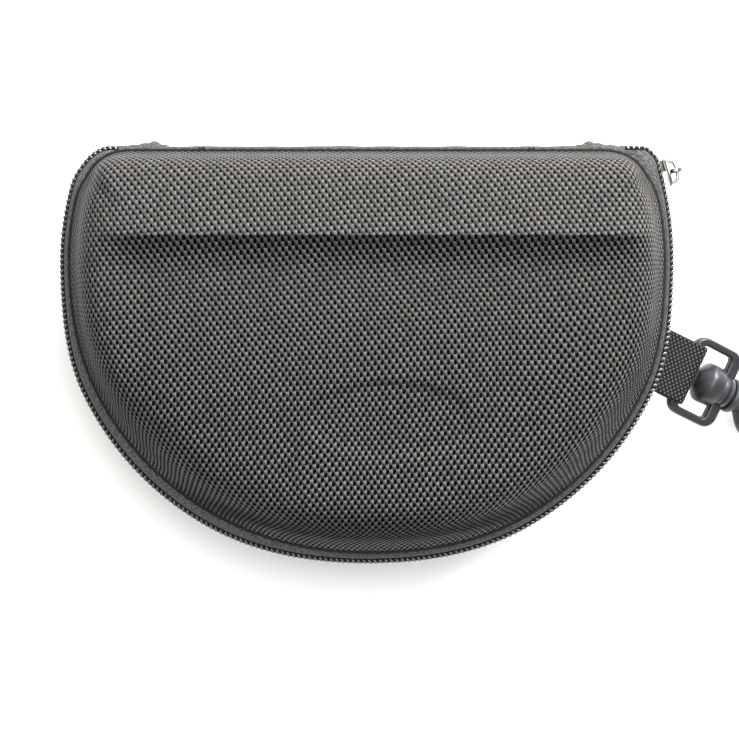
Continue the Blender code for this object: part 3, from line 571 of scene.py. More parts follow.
class Nodes:
    """A material's node tree, with short calls for the nodes that the materials use."""

    def __init__(self, name, colour, roughness, metallic=0.0):
        self.material = bpy.data.materials.new(name)
        self.material.use_nodes = True
        self.tree = self.material.node_tree
        self.shader = self.tree.nodes["Principled BSDF"]
        self.shader.inputs["Base Color"].default_value = (*colour, 1.0)
        self.shader.inputs["Roughness"].default_value = roughness
        self.shader.inputs["Metallic"].default_value = metallic

    def put(self, socket, value):
        """Links a socket to another, or sets it to a number or a colour."""
        if isinstance(value, bpy.types.NodeSocket):
            self.tree.links.new(value, socket)
        elif hasattr(value, "__len__"):
            socket.default_value = (*value, 1.0) if len(value) == 3 and socket.type == "RGBA" else value
        else:
            socket.default_value = value

    def make(self, kind, *values, **settings):
        """The output of a new node of one kind, with its settings and first inputs filled in."""
        node = self.tree.nodes.new("ShaderNode" + kind)
        for name, value in settings.items():
            setattr(node, name, value)
        for socket, value in zip(node.inputs, values):
            self.put(socket, value)
        return node.outputs[0]

    def math(self, operation, first, second=0.0, third=0.0):
        return self.make("Math", first, second, third, operation=operation)

    def mul(self, first, second):
        return self.math("MULTIPLY", first, second)

    def add(self, first, second):
        return self.math("ADD", first, second)

    def sub(self, first, second):
        return self.math("SUBTRACT", first, second)

    def div(self, first, second):
        return self.math("DIVIDE", first, second)

    def mul_add(self, first, second, third):
        return self.math("MULTIPLY_ADD", first, second, third)

    def cloth(self):
        """The UV map as two sockets in millimetres."""
        source = self.tree.nodes.new("ShaderNodeUVMap")
        source.uv_map = "cloth"
        split = self.tree.nodes.new("ShaderNodeSeparateXYZ")
        self.tree.links.new(source.outputs[0], split.inputs[0])
        return self.mul(split.outputs[0], UV_MM), self.mul(split.outputs[1], UV_MM)

    def vector(self, x, y, z=0.0):
        return self.make("CombineXYZ", x, y, z)

    def place(self):
        """The object's own coordinates in millimetres."""
        return self.scaled(self.tree.nodes.new("ShaderNodeTexCoord").outputs["Object"], 1.0 / MM)

    def noise(self, vector, scale=1.0, detail=2.0, roughness=0.5):
        node = self.tree.nodes.new("ShaderNodeTexNoise")
        for name, value in zip(("Vector", "Scale", "Detail", "Roughness"), (vector, scale, detail, roughness)):
            self.put(node.inputs[name], value)
        return node.outputs[0]

    def cells(self, vector):
        """One random value for each whole-number cell."""
        return self.make("TexWhiteNoise", vector, noise_dimensions="2D")

    def blend(self, share, first, second):
        node = self.tree.nodes.new("ShaderNodeMix")
        node.data_type = "RGBA"
        self.put(node.inputs["Factor"], share)
        self.put(node.inputs[6], first)
        self.put(node.inputs[7], second)
        return node.outputs[2]

    def between(self, value, low, high, to_low=0.0, to_high=1.0):
        """A value eased from one range to another, and held beyond its ends."""
        return self.make("MapRange", value, low, high, to_low, to_high, interpolation_type="SMOOTHSTEP")

    def band(self, value, rise_from, rise_to, fall_from, fall_to):
        """1 between two places, easing to 0 outside them."""
        rise = self.between(value, rise_from, rise_to)
        return self.mul(rise, self.between(value, fall_from, fall_to, 1.0, 0.0))

    def mottled(self, colour, noise, darkest, lightest):
        """A colour made darker and lighter by a noise."""
        return self.scaled(colour, self.between(noise, 0.3, 0.7, darkest, lightest))

    def scaled(self, colour, amount):
        node = self.tree.nodes.new("ShaderNodeVectorMath")
        node.operation = "SCALE"
        self.put(node.inputs[0], colour)
        self.put(node.inputs["Scale"], amount)
        return node.outputs[0]

    def bump(self, height, depth):
        """Raises the surface by a height times a depth in millimetres."""
        node = self.tree.nodes.new("ShaderNodeBump")
        node.inputs["Strength"].default_value = 1.0
        node.inputs["Distance"].default_value = depth * MM
        self.put(node.inputs["Height"], height)
        self.tree.links.new(node.outputs[0], self.shader.inputs["Normal"])

    def set(self, **values):
        for name, value in values.items():
            self.put(self.shader.inputs[name.replace("_", " ")], value)

    def weave(self, u, v, pitch_u, pitch_v, crest=0.5, lift=0.0):
        """Plain weave: its height, where the lengthwise yarn shows, its tilt and one random value per cell."""
        a, b = self.div(u, pitch_u), self.div(v, pitch_v)
        cell_a, cell_b = self.math("FLOOR", a), self.math("FLOOR", b)
        in_a = self.sub(self.sub(a, cell_a), 0.5)
        in_b = self.sub(self.sub(b, cell_b), 0.5)
        odd = self.math("FLOORED_MODULO", self.add(cell_a, cell_b), 2.0)
        sign = self.mul_add(odd, -2.0, 1.0)
        heights = []
        for across, along, over in ((in_a, in_b, 1.0), (in_b, in_a, -1.0)):
            square = self.mul(across, across)
            round_yarn = self.math("SQRT", self.mul_add(square, -3.9, 1.0))
            wave = self.math("COSINE", self.mul(along, math.pi))
            wave = self.mul(wave, self.mul(sign, over * crest))
            heights.append(self.add(self.mul(round_yarn, 1.0 - crest), wave))
        lengthwise, crosswise = self.add(heights[0], lift), heights[1]
        showing = self.between(self.sub(lengthwise, crosswise), -0.05, 0.05)
        slope_b = self.mul(sign, self.math("SINE", self.mul(in_b, math.pi)))
        slope_a = self.math("SINE", self.mul(in_a, math.pi))
        return {"height": self.math("MAXIMUM", lengthwise, crosswise), "warp": showing, "tilt_b": slope_b,
                "tilt_a": slope_a, "cell": self.cells(self.vector(cell_a, cell_b)), "in_a": in_a, "in_b": in_b,
                "sign": sign}


def turned(nodes, u, v, degrees_u, degrees_v):
    """Cloth coordinates with the crosswise and lengthwise yarns turned by their own small angles."""
    skew_u, skew_v = math.tan(math.radians(degrees_u)), math.tan(math.radians(degrees_v))
    return (nodes.mul_add(v, skew_v, u), nodes.mul_add(u, -skew_u, v))


def nylon_material():
    nodes = Nodes("ballistic_nylon", (0.05, 0.05, 0.05), 0.5)
    u, v = flat_u, flat_v = nodes.cloth()
    wander = nodes.noise(nodes.vector(u, v), 0.035, 1.0)
    u = nodes.mul_add(wander, 2.0, u)
    drift = nodes.noise(nodes.vector(u, v, 7.0), 0.03, 1.0)
    v = nodes.mul_add(drift, 3.0, v)
    u, v = turned(nodes, u, v, *YARN_TURNS)
    yarn = nodes.weave(u, v, WEAVE_U, WEAVE_V, 0.55, 0.26)
    fibre = nodes.noise(nodes.vector(nodes.mul(u, 9.0), nodes.mul(v, 1.6)), 1.0, 1.0)
    # The deep dark gaps between the floats are painted shade.
    gap = painted_gap_shade(nodes, yarn, flat_u, flat_v)
    # Painted light and shade: each float is lighter on its side towards the hinge edge and the webbing loop,
    # darker on the opposite side.
    tilt = nodes.mul_add(yarn["tilt_a"], 0.45, nodes.mul(yarn["tilt_b"], 0.75))
    lit = nodes.mul(gap, nodes.between(tilt, -1.0, 0.9, 0.42, 1.3))
    lit = nodes.mul(lit, nodes.between(yarn["cell"], 0.0, 1.0, 0.85, 1.15))
    lit = nodes.mul(lit, nodes.between(fibre, 0.25, 0.75, 0.8, 1.2))
    # Painted sheen: the lengthwise floats are given a lighter colour than the crosswise yarn, though both are
    # the same black nylon.
    colour = nodes.blend(yarn["warp"], (0.048, 0.0475, 0.047), (0.079, 0.0762, 0.0742))
    nodes.set(Base_Color=nodes.scaled(colour, lit), Specular_IOR_Level=0.05,
              Roughness=nodes.mul(nodes.between(fibre, 0.2, 0.8, 0.9, 1.1),
                                   nodes.between(gap, 0.0, 1.0, 0.95, 0.46)))
    nodes.bump(nodes.mul_add(fibre, 0.12, nodes.mul(yarn["height"], gap)), 0.30)
    return nodes.material


def painted_gap_shade(nodes, yarn, u, v):
    """Painted shade: 0 in the dark oval between two floats and up to 1 on the yarns. The ovals lean one way
    towards the front and the other towards the back; they are widened towards the front, in the front shoulder
    and below the step to paint more shade there, and the result is darkened in the shoulder and the panel's
    middle and lightened in the wall's flare by the front seam, as painted shade and light.
    """
    lean = nodes.between(v, -35.0, 40.0, -0.55, 0.45)
    shoulder, panel = nodes.band(v, *FRONT_SHOULDER), nodes.band(v, *PANEL_MIDDLE)
    fold = nodes.mul(nodes.band(v, *UNDER_STEP_SHADE), nodes.band(u, *UNDER_STEP_SHADE_SPAN))
    # Painted shade: the gaps are widened towards the front, in the front shoulder and below the step, where the
    # cloth faces away from the light.
    wide = nodes.mul_add(nodes.add(shoulder, fold), 0.5, nodes.between(v, -32.0, 45.0, 1.2, 0.84))
    wide = nodes.mul(wide, GAP_SIZE)
    across = nodes.div(nodes.mul_add(lean, yarn["in_b"], yarn["in_a"]), wide)
    along = nodes.div(yarn["in_b"], wide)
    reach = nodes.mul_add(across, across, nodes.mul(along, along))
    over = nodes.mul_add(yarn["sign"], 2.0, 2.0)
    # Painted shade and light: darker in the front shoulder and a little in the panel's middle, lighter in the
    # wall's flare by the front seam.
    shade = nodes.mul_add(shoulder, -0.4, nodes.mul_add(panel, -0.13, 1.0))
    shade = nodes.mul_add(nodes.between(v, -67.0, -60.0, 1.0, 0.0), 0.35, shade)
    return nodes.mul(nodes.between(nodes.add(reach, over), 0.45, 1.3, 0.0, 1.0), shade)


def tape_material(name, colour, rib=0.62, lean=0.8):
    """Close twill tape, ribbed on a slant, with lighter and darker threads, and painted shade that darkens the
    grooves between its ribs and lightens their crests.
    """
    nodes = Nodes(name, colour, 0.8)
    u, v = nodes.cloth()
    slant = nodes.mul_add(v, lean, u)
    wave = nodes.math("COSINE", nodes.mul(slant, TAU / rib))
    cross = nodes.math("COSINE", nodes.mul(v, TAU / (rib * 0.7)))
    height = nodes.mul_add(cross, 0.5, wave)
    speck = nodes.noise(nodes.vector(nodes.mul(u, 0.8), nodes.mul(v, 1.6)), 2.0, 2.0)
    # The speckle is the threads' own tone; the rib height paints shade in the grooves and light on the crests.
    shade = nodes.mul(nodes.between(speck, 0.38, 0.62, 0.4, 1.7),
                       nodes.between(height, -1.5, 1.5, 0.5, 1.15))
    nodes.set(Base_Color=nodes.scaled(colour, shade), Specular_IOR_Level=0.12)
    nodes.bump(height, 0.07)
    return nodes.material


def pile_material(name, colour):
    """Short brushed pile, as on a case's lining."""
    nodes = Nodes(name, colour, 0.95)
    u, v = nodes.cloth()
    place = nodes.vector(u, v)
    fine, broad = nodes.noise(place, 5.0, 3.0, 0.7), nodes.noise(place, 0.12, 2.0)
    knit = nodes.weave(u, v, 0.55, 0.7, 0.4)["height"]
    shade = nodes.mul(nodes.between(fine, 0.25, 0.75, 0.6, 1.35), nodes.between(broad, 0.3, 0.7, 0.85, 1.15))
    nodes.set(Base_Color=nodes.scaled(colour, shade), Sheen_Weight=0.5, Sheen_Roughness=0.5)
    nodes.bump(nodes.add(nodes.mul(knit, 0.5), fine), 0.16)
    return nodes.material


def foam_material():
    nodes = Nodes("eva_foam", (0.035, 0.035, 0.036), 0.9)
    grain = nodes.noise(nodes.place(), 1.8, 3.0, 0.7)
    nodes.set(Base_Color=nodes.mottled((0.035, 0.035, 0.036), grain, 0.6, 1.4))
    nodes.bump(grain, 0.15)
    return nodes.material


def coil_material():
    nodes = Nodes("zipper_coil", (0.02, 0.02, 0.022), 0.3)
    streak = nodes.noise(nodes.place(), 1.6, 2.0)
    colour = nodes.mottled((0.030, 0.031, 0.032), streak, 0.6, 1.4)
    nodes.set(Base_Color=colour, Roughness=nodes.between(streak, 0.3, 0.7, 0.16, 0.30), Specular_IOR_Level=1.0,
              Coat_Weight=1.0, Coat_Roughness=0.2)
    nodes.bump(nodes.noise(nodes.place(), 5.0, 2.0), 0.01)
    return nodes.material


def metal_material(name, colour, low, high):
    nodes = Nodes(name, colour, 0.25, 1.0)
    cloud, scratch = nodes.noise(nodes.place(), 0.9, 3.0), nodes.noise(nodes.place(), 7.0, 4.0, 0.7)
    nodes.set(Roughness=nodes.between(nodes.mul(cloud, scratch), 0.15, 0.4, low, high),
              Base_Color=nodes.mottled(colour, cloud, 0.9, 1.05))
    nodes.bump(scratch, 0.006)
    return nodes.material


def plastic_material():
    nodes = Nodes("black_plastic", (0.045, 0.048, 0.052), 0.38)
    grain, cloud = nodes.noise(nodes.place(), 3.2, 3.0, 0.6), nodes.noise(nodes.place(), 0.3, 2.0)
    geometry = nodes.tree.nodes.new("ShaderNodeNewGeometry")
    # Lighter along sharp convex edges, from the surface's pointiness.
    lighter_edges = nodes.between(nodes.mul_add(cloud, 0.06, geometry.outputs["Pointiness"]), 0.53, 0.62)
    colour = nodes.blend(lighter_edges, (0.010, 0.011, 0.014), (0.034, 0.036, 0.040))
    nodes.set(Base_Color=nodes.mottled(colour, cloud, 0.85, 1.15),
              Roughness=nodes.between(grain, 0.3, 0.7, 0.28, 0.44))
    nodes.bump(grain, 0.012)
    return nodes.material


def webbing_material():
    nodes = Nodes("webbing", (0.04, 0.04, 0.042), 0.55)
    u, v = nodes.cloth()
    fibre = nodes.noise(nodes.vector(nodes.mul(u, 2.0), nodes.mul(v, 9.0)), 1.0, 2.0)
    source = nodes.tree.nodes.new("ShaderNodeAttribute")
    source.attribute_name = "float_height"
    # Painted shade: the colour falls to near black between the floats and on the inner face, and keeps its full
    # value only on the float tops.
    float_shade = nodes.between(source.outputs["Fac"], 0.5, 1.0, 0.07, 1.0)
    shade = nodes.mul(float_shade, nodes.between(fibre, 0.2, 0.8, 0.7, 1.25))
    nodes.set(Base_Color=nodes.scaled((0.085, 0.084, 0.081), shade), Specular_IOR_Level=0.1)
    nodes.bump(fibre, 0.05)
    return nodes.material


def thread_material():
    nodes = Nodes("thread", (0.012, 0.012, 0.013), 0.7)
    twist = nodes.noise(nodes.place(), 3.0, 2.0)
    nodes.set(Base_Color=nodes.mottled((0.004, 0.004, 0.0045), twist, 0.6, 1.6),
              Specular_IOR_Level=0.2)
    nodes.bump(twist, 0.04)
    return nodes.material


# ---- zip


def tape_rows(line, plan_of, side):
    """Rows of a tape through points of (inset, height, ...), with UVs along and across it."""
    rows, uvs = [], []
    for point, reach in zip(line, lengths(line[:, :2])):
        plan = plan_of(point)
        rows.append(lifted(plan, side * point[1]))
        uvs.append(np.column_stack([lengths(plan), np.full(len(plan), reach)]))
    return np.array(rows), np.array(uvs)


TAPE_PROFILE = ((1.6, 0.5, 0.0), (1.65, 2.6, 0.0), (1.8, 4.4, 0.1), (2.2, 5.8, 0.5), (2.9, 6.6, 0.85),
                (3.7, 6.85, 1.0), (5.8, 6.9, 1.0), (8.2, 6.9, 1.0))
COIL_PITCH, COIL_WIRE, COIL_SIDES, COIL_STEPS = 1.6, 0.42, 6, 16
COIL_CENTRE_INSET, COIL_CENTRE_HEIGHT = 0.85, 1.22
COIL_OUT, COIL_UP = 0.60, 0.68  # half the loops' width and height
CORD_RADIUS, SHADOW_CORD_RADIUS = 0.66, 0.55
# Length, gap and radius of the stitches.
COIL_STITCH, SEAM_STITCH, BINDING_STITCH = (1.1, 0.5, 0.13), (2.1, 0.7, 0.17), (2.3, 0.7, 0.2)


def zip_path(inset):
    """Points, outward normals and lengths of the zip's line at one inset."""
    plan, normals = zip_line(inset)
    return plan, normals, lengths(plan)


def along_path(path, wanted):
    plan, normals, along = path
    place = np.stack([np.interp(wanted, along, plan[:, axis]) for axis in (0, 1)], axis=1)
    normal = np.stack([np.interp(wanted, along, normals[:, axis]) for axis in (0, 1)], axis=1)
    return place, normal / np.linalg.norm(normal, axis=1, keepdims=True)


def make_coil(prefix, side, material):
    """A wound filament along the zip, its loops leaning the way a coil zip's do."""
    path = zip_path(COIL_CENTRE_INSET)
    turns = int(path[2][-1] / COIL_PITCH) - 1
    phase = np.arange(turns * COIL_STEPS + 1) * TAU / COIL_STEPS
    start = 0.0 if side > 0 else COIL_PITCH / 2.0
    place, normal = along_path(path, start + phase / TAU * COIL_PITCH)
    round_turn = phase + 0.35 * np.sin(2.0 * phase)  # the flat legs take most of each turn's advance
    out, up = -np.cos(round_turn), np.sin(round_turn)
    squareness = (np.abs(out) ** 3.5 + np.abs(up) ** 3.5) ** (-1.0 / 3.5)
    out, up = out * squareness, up * squareness
    centre = lifted(place, side * COIL_CENTRE_HEIGHT)
    line = centre + np.column_stack([normal * (out * COIL_OUT)[:, None], side * up * COIL_UP])
    spread = np.column_stack([normal * (out / COIL_OUT)[:, None], side * up / COIL_UP])
    return tube_mesh(prefix + "_zipper_coil_loops", line, spread, COIL_WIRE, COIL_SIDES, material)


def make_cord(prefix, side, material):
    """The filler cord inside the loops."""
    path = zip_path(COIL_CENTRE_INSET)
    place, normal = along_path(path, np.linspace(0.0, path[2][-1] - 2.0, 420))
    line = lifted(place, side * COIL_CENTRE_HEIGHT)
    flat = np.column_stack([normal, np.zeros(len(place))])
    return tube_mesh(prefix + "_zipper_cord", line, flat, CORD_RADIUS, 8, material)


def stitch_row(name, line, outward, stitch, material):
    """A row of short threads that dip into the cloth at both ends."""
    long, gap, radius = stitch
    along = lengths(line)
    count = int(along[-1] / (long + gap))
    share = np.linspace(-1.0, 1.0, 6)
    dip = (1.0 - share ** 4) * radius * 1.1 - radius * 0.9
    starts = (np.arange(count) + 0.5) * (long + gap)
    wanted = starts[:, None] + share[None, :] * long / 2.0
    place = np.stack([np.interp(wanted, along, line[:, axis]) for axis in range(3)], axis=-1)
    out = np.stack([np.interp(wanted, along, outward[:, axis]) for axis in range(3)], axis=-1)
    out /= np.linalg.norm(out, axis=-1, keepdims=True)
    place = place + out * dip[None, :, None]
    thick = radius * np.array([0.35, 0.85, 1.0, 1.0, 0.85, 0.35])
    sides, points, faces = 6, [], []
    for index in range(count):
        points.append(tube_points(place[index], out[index], thick, sides).reshape(-1, 3))
        faces += tube_faces(len(share), sides, index * len(share) * sides)
    return make_mesh(name, np.vstack(points), faces, material)


def seam_path(inset, height, side):
    """The seam's way round, and the directions out of the cloth there."""
    plan, normals = seam_ring(inset)
    return lifted(plan, side * height), np.column_stack([normals * 0.35, np.full(len(normals), side * 0.94)])


def make_zip_half(prefix, side, body, kit):
    """Tape, coil, cord and stitching of one half of the zip."""
    line = smooth_line(TAPE_PROFILE, 22)
    rows, uvs = tape_rows(line, lambda point: zip_line(point[0], np.clip(point[2], 0.0, 1.0))[0], side)
    tape = band_mesh(prefix + "_zipper_tape_cloth", rows, uvs, kit["zipper_tape"], flip=side < 0)
    finish_piece(tape, body, "zipper_tape", prefix + "_zipper_tape")
    coil = make_coil(prefix, side, kit["zipper_coil"])
    finish_piece(coil, body, "zipper_coil", prefix + "_zipper_coil")
    finish_piece(make_cord(prefix, side, kit["thread"]), body, "binding")
    plan, normals = zip_line(1.5)
    outward = np.column_stack([normals, np.zeros(len(normals))])
    for height in (2.5, 3.3):
        line = lifted(plan + normals * 0.05, side * height)
        name = f"{prefix}_coil_stitches_{int(height * 10)}"
        finish_piece(stitch_row(name, line, outward, COIL_STITCH, kit["thread"]), body, "binding")
    # Painted shadow: a near-black cord laid in the gap of the seam stands in for the shadow there.
    line, upward = seam_path(SEAM_INSET - 0.25, 7.05, side)
    shadow_cord = tube_mesh(prefix + "_seam_shadow_cord", line, upward, SHADOW_CORD_RADIUS, 8, kit["thread"])
    finish_piece(shadow_cord, body, "binding")
    line, upward = seam_path(SEAM_INSET - 0.75, 7.0, side)
    seam = stitch_row(prefix + "_seam_stitches", line, upward, SEAM_STITCH, kit["thread"])
    finish_piece(seam, body, "binding")


# ---- shells and inside


def make_shell(prefix, side, body, kit):
    """One moulded half: its outer cloth, foam core and lining."""
    form = ShellForm(side, LID_PROFILE, lid_relief) if side > 0 else ShellForm(side, BACK_PROFILE)
    fabric = form.layer(prefix + "_outer_cloth", FABRIC, 0.9, kit["ballistic_nylon"])
    foam = form.layer(prefix + "_foam_core", FOAM, 2.4, kit["eva_foam"])
    lining = form.layer(prefix + "_lining_cloth", LINING, 1.6, kit["lining"])
    for item, slot, node in ((fabric, "ballistic_nylon", "_shell_fabric"), (foam, "eva_foam", "_shell_foam"),
                             (lining, "lining", "_lining")):
        finish_piece(item, body, slot, prefix + node)


BINDING_PROFILE = ((9.5, 15.5), (9.35, 13.0), (9.3, 9.5), (9.1, 7.2), (8.4, 6.2), (6.6, 5.9), (4.6, 5.9))


def make_binding(prefix, side, body, kit):
    """Folded tape over the raw edge inside the shell, with its row of stitches."""
    line = smooth_line(BINDING_PROFILE, 16)
    rows, uvs = tape_rows(line, lambda point: seam_ring(point[0])[0], side)
    tape = band_mesh(prefix + "_binding_cloth", rows, uvs, kit["binding"], flip=side > 0)
    finish_piece(tape, body, "binding", prefix + "_binding_tape")
    plan, normals = seam_ring(9.65)
    inward = np.column_stack([-normals, np.zeros(len(normals))])
    line = lifted(plan, side * 13.4)
    row = stitch_row(prefix + "_binding_stitches", line, inward, BINDING_STITCH, kit["thread"])
    finish_piece(row, body, "binding")


# ---- hinge strips and end tabs


OUTER_STRIP_PROFILE = ((4.4, 6.9), (2.6, 6.7), (1.2, 5.6), (0.55, 3.8), (0.35, 1.2))
INNER_STRIP_PROFILE = ((8.0, 5.0), (4.6, 4.4), (3.6, 3.2), (3.3, 1.0))


def make_hinge_strip(name, profile, kit, slot, node, puckers):
    """Cloth across the hinge edge, slightly puckered."""
    section = smooth_line([*profile, *((inset, -height) for inset, height in profile[::-1])], 34)
    x = np.linspace(-0.5, 0.5, 240) * HINGE_STRIP_LONG
    across = lengths(section)
    phases = np.random.default_rng(5).uniform(0.0, TAU, 4)
    ripple = sum(np.sin(x / scale + phase) for scale, phase in zip((1.7, 2.9, 5.3, 9.7), phases)) / 4.0
    rows, uvs = [], []
    for (inset, height), reach in zip(section, across):
        loose = puckers * math.cos(height / 7.6 * math.pi / 2.0)
        y = HINGE_Y - inset + loose * ripple
        rows.append(np.column_stack([x, y, np.full(len(x), RIM_Z + height)]))
        uvs.append(np.column_stack([x, np.full(len(x), reach)]))
    strip = band_mesh(name, rows, uvs, kit[slot])
    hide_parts(node)
    bend_over_hinge(strip)


def bend_over_hinge(item):
    """Bakes a piece of cloth's place into its mesh."""
    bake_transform(item)


END_TAB_PROFILE = ((4.6, 7.1), (3.0, 7.05), (1.6, 6.5), (0.7, 5.2), (0.2, 3.2), (0.0, 0.0))
END_TAB_SHAPE = ((-10.0, -0.3), (-7.0, 0.0), (-3.5, 0.45), (-1.2, 0.95), (-0.2, 1.2), (0.7, 1.05), (1.9, 0.5),
                 (3.3, 0.1), (4.4, -0.4))


def make_end_tab(name, node, mirrored, kit):
    """The zip's cloth end, gathered to a peak and folded under at the hinge edge."""
    low, high = box_mm(node)
    centre_x = (low[0] + high[0]) / 2.0
    turn = -1.0 if mirrored else 1.0
    shape = smooth_line(END_TAB_SHAPE, 44)
    section = smooth_line(END_TAB_PROFILE, 14)
    section = np.vstack([section, section[-2::-1] * np.array([1.0, -1.0])])
    rows, uvs = [], []
    across = lengths(section)
    for (inset, height), reach in zip(section, across):
        share = 1.0 - min(inset / END_TAB_PROFILE[0][0], 1.0)
        out = shape[:, 1] * (0.12 + 0.88 * share) - inset * 0.98
        fold = 0.16 * np.sin(shape[:, 0] * 1.9 + height * 0.35) * share
        x = centre_x + turn * shape[:, 0]
        rows.append(np.column_stack([x, HINGE_Y + out + fold, np.full(len(x), RIM_Z + height)]))
        uvs.append(np.column_stack([shape[:, 0], np.full(len(x), reach)]))
    tab = band_mesh(name, rows, uvs, kit["zipper_tape"], 0.4, flip=mirrored)
    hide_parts(node)
    bend_over_hinge(tab)


def make_thread_ends(kit):
    """The knots where the hinge seam's thread ends."""
    for index, x in enumerate((-49.0, 46.5)):
        share = np.linspace(0.0, 1.0, 26)
        line = np.column_stack([x + 1.4 * share + 0.5 * np.sin(share * 9.0),
                                HINGE_Y - 2.4 + 1.1 * share + 0.3 * np.cos(share * 11.0),
                                RIM_Z + 7.3 + 0.5 * np.sin(share * 7.0)])
        knot = tube_mesh(f"thread_end_{index + 1}", line, alike((0.0, 0.0, 1.0), line), 0.22, 8, kit["thread"])
        finish_piece(knot, "lid", "binding")


# ---- slider and pull


CROWN_BAR = 4.95  # how far out the pull's axis lies from the coil's centre line
FRONT_PLATE, BACK_PLATE = (1.85, 2.55), (-3.4, -2.7)  # the two faces of each plate
BRIDGE_SHAPE = ((-3.1, 2.2), (-3.15, 3.4), (-2.7, 4.6), (-1.4, 5.0), (0.0, 5.05), (1.4, 5.0), (2.7, 4.6),
                (3.15, 3.4), (3.1, 2.2))
PULL_HALF = ((0.0, 1.75), (-1.25, 1.35), (-1.8, 0.1), (-1.6, -1.3), (-1.45, -2.6), (-1.9, -4.2),
             (-1.75, -6.0), (-0.9, -7.05), (0.0, -7.3))


def slider_matrix():
    """Local X along the zip, Y up, Z away from the case, on the coil's centre line."""
    along = Vector(JOINTS["pull_lift"]["axis"]).normalized()
    up = Vector((0.0, 0.0, 1.0))
    outward = along.cross(up).normalized()
    if outward.x < 0.0:
        outward, along = -outward, -along
    bar = Vector(JOINTS["pull_lift"]["pos_m"])
    centre = bar - outward * CROWN_BAR * MM
    turn = Matrix((along, up, along.cross(up))).transposed().to_4x4()
    return Matrix.Translation(centre) @ turn


def slider_outline(half_long, half_tall, tail):
    """A slider plate: a broad round nose and a narrower tail."""
    right = [(half_long, 0.35 * half_tall), (0.72 * half_long, 0.86 * half_tall), (0.25 * half_long, half_tall),
             (-0.35 * half_long, 0.96 * half_tall), (-0.85 * half_long, tail * half_tall),
             (-half_long, 0.45 * tail * half_tall)]
    upper = smooth_line(right, 26)
    return [tuple(point) for point in upper] + [(x, -y) for x, y in upper[::-1]]


def make_slider(kit):
    """Two plates on a post, and the bridge that holds the pull."""
    matrix = slider_matrix()
    pieces = []
    for name, (inner, outer), tall in (("front", FRONT_PLATE, 3.55), ("back", BACK_PLATE, 3.25)):
        middle = Matrix.Translation((0.0, 0.0, (inner + outer) / 2.0 * MM))
        pieces.append(plate("slider_" + name, [slider_outline(4.2, tall, 0.74)], (outer - inner) / 2.0, 0.22,
                            matrix @ middle, kit["nickel"]))
    post = rounded_box((0.6, -0.1), (4.0, 0.1), 0.08)
    depth = FRONT_PLATE[0] - BACK_PLATE[1]
    middle = Matrix.Translation((0.0, 0.0, (FRONT_PLATE[0] + BACK_PLATE[1]) / 2.0 * MM))
    pieces.append(plate("slider_post", [post], depth / 2.0 + 0.2, 0.05, matrix @ middle, kit["nickel"], 1))
    finish_piece(join("slider_shell", pieces), "slider", "nickel", "slider_body")
    bridge = smooth_line(BRIDGE_SHAPE, 44)
    line = np.column_stack([bridge[:, 0], np.zeros(len(bridge)), bridge[:, 1]])
    crown = tube_mesh("slider_bridge", line, alike((0.0, 1.0, 0.0), line), 0.5, 14, kit["nickel"])
    crown.matrix_world = matrix
    finish_piece(crown, "slider", "nickel", "slider_crown")


def make_pull(kit):
    """A cast pull: an eye on the slider's bridge, a waist and a rounded end."""
    turn = Matrix.Rotation(math.radians(90.0), 4, "Y")
    matrix = slider_matrix() @ Matrix.Translation((0.0, 0.0, CROWN_BAR * MM)) @ turn
    outline = smooth_line(PULL_HALF, 40)
    outer = [tuple(point) for point in outline] + [(-x, y) for x, y in outline[-2:0:-1]]
    eye = arc(0.0, -0.35, 1.12, 0.0, TAU, 30)[:-1]
    body = plate("zip_pull", [outer, eye], 0.7, 0.28, matrix, kit["nickel"])
    finish_piece(body, "pull", "nickel", "pull_tab")


# ---- webbing and hook


def strap_matrix():
    """Local X away from the case, Y across the webbing, Z out of its upper face, at the webbing's bend."""
    away = Vector(JOINTS["hook_swivel"]["axis"]).normalized()
    across = -Vector(JOINTS["strap_bend"]["axis"]).normalized()
    turn = Matrix((away, across, away.cross(across))).transposed().to_4x4()
    return Matrix.Translation(Vector(JOINTS["strap_bend"]["pos_m"])) @ turn


STRAP_HALF_WIDE, STRAP_PLY, BAR_U, WRAP = 9.3, 0.55, 10.9, 2.68  # half width, half gap, bar's place and turn
FLOAT_ALONG, FLOAT_ACROSS, FLOAT_RISE = 0.70, 0.85, 0.20  # the woven floats' two pitches and their relief
ROOT_BEND = (-2.2, 2.2)  # where the webbing levels out towards the seam


def strap_line():
    """The webbing's middle line in its own plane: out over the bar and back under it."""
    lean = math.asin((WRAP - STRAP_PLY) / BAR_U)
    over = [(-6.2, STRAP_PLY), (-3.0, STRAP_PLY), (-1.0, STRAP_PLY)]
    bar = arc(BAR_U, 0.0, WRAP, math.pi / 2.0 + lean, -math.pi / 2.0 - lean, 20)
    under = [(x, -z) for x, z in over[::-1]]
    return resample(np.array(over + [(0.6, STRAP_PLY)] + bar + [(0.6, -STRAP_PLY)] + under), 210)


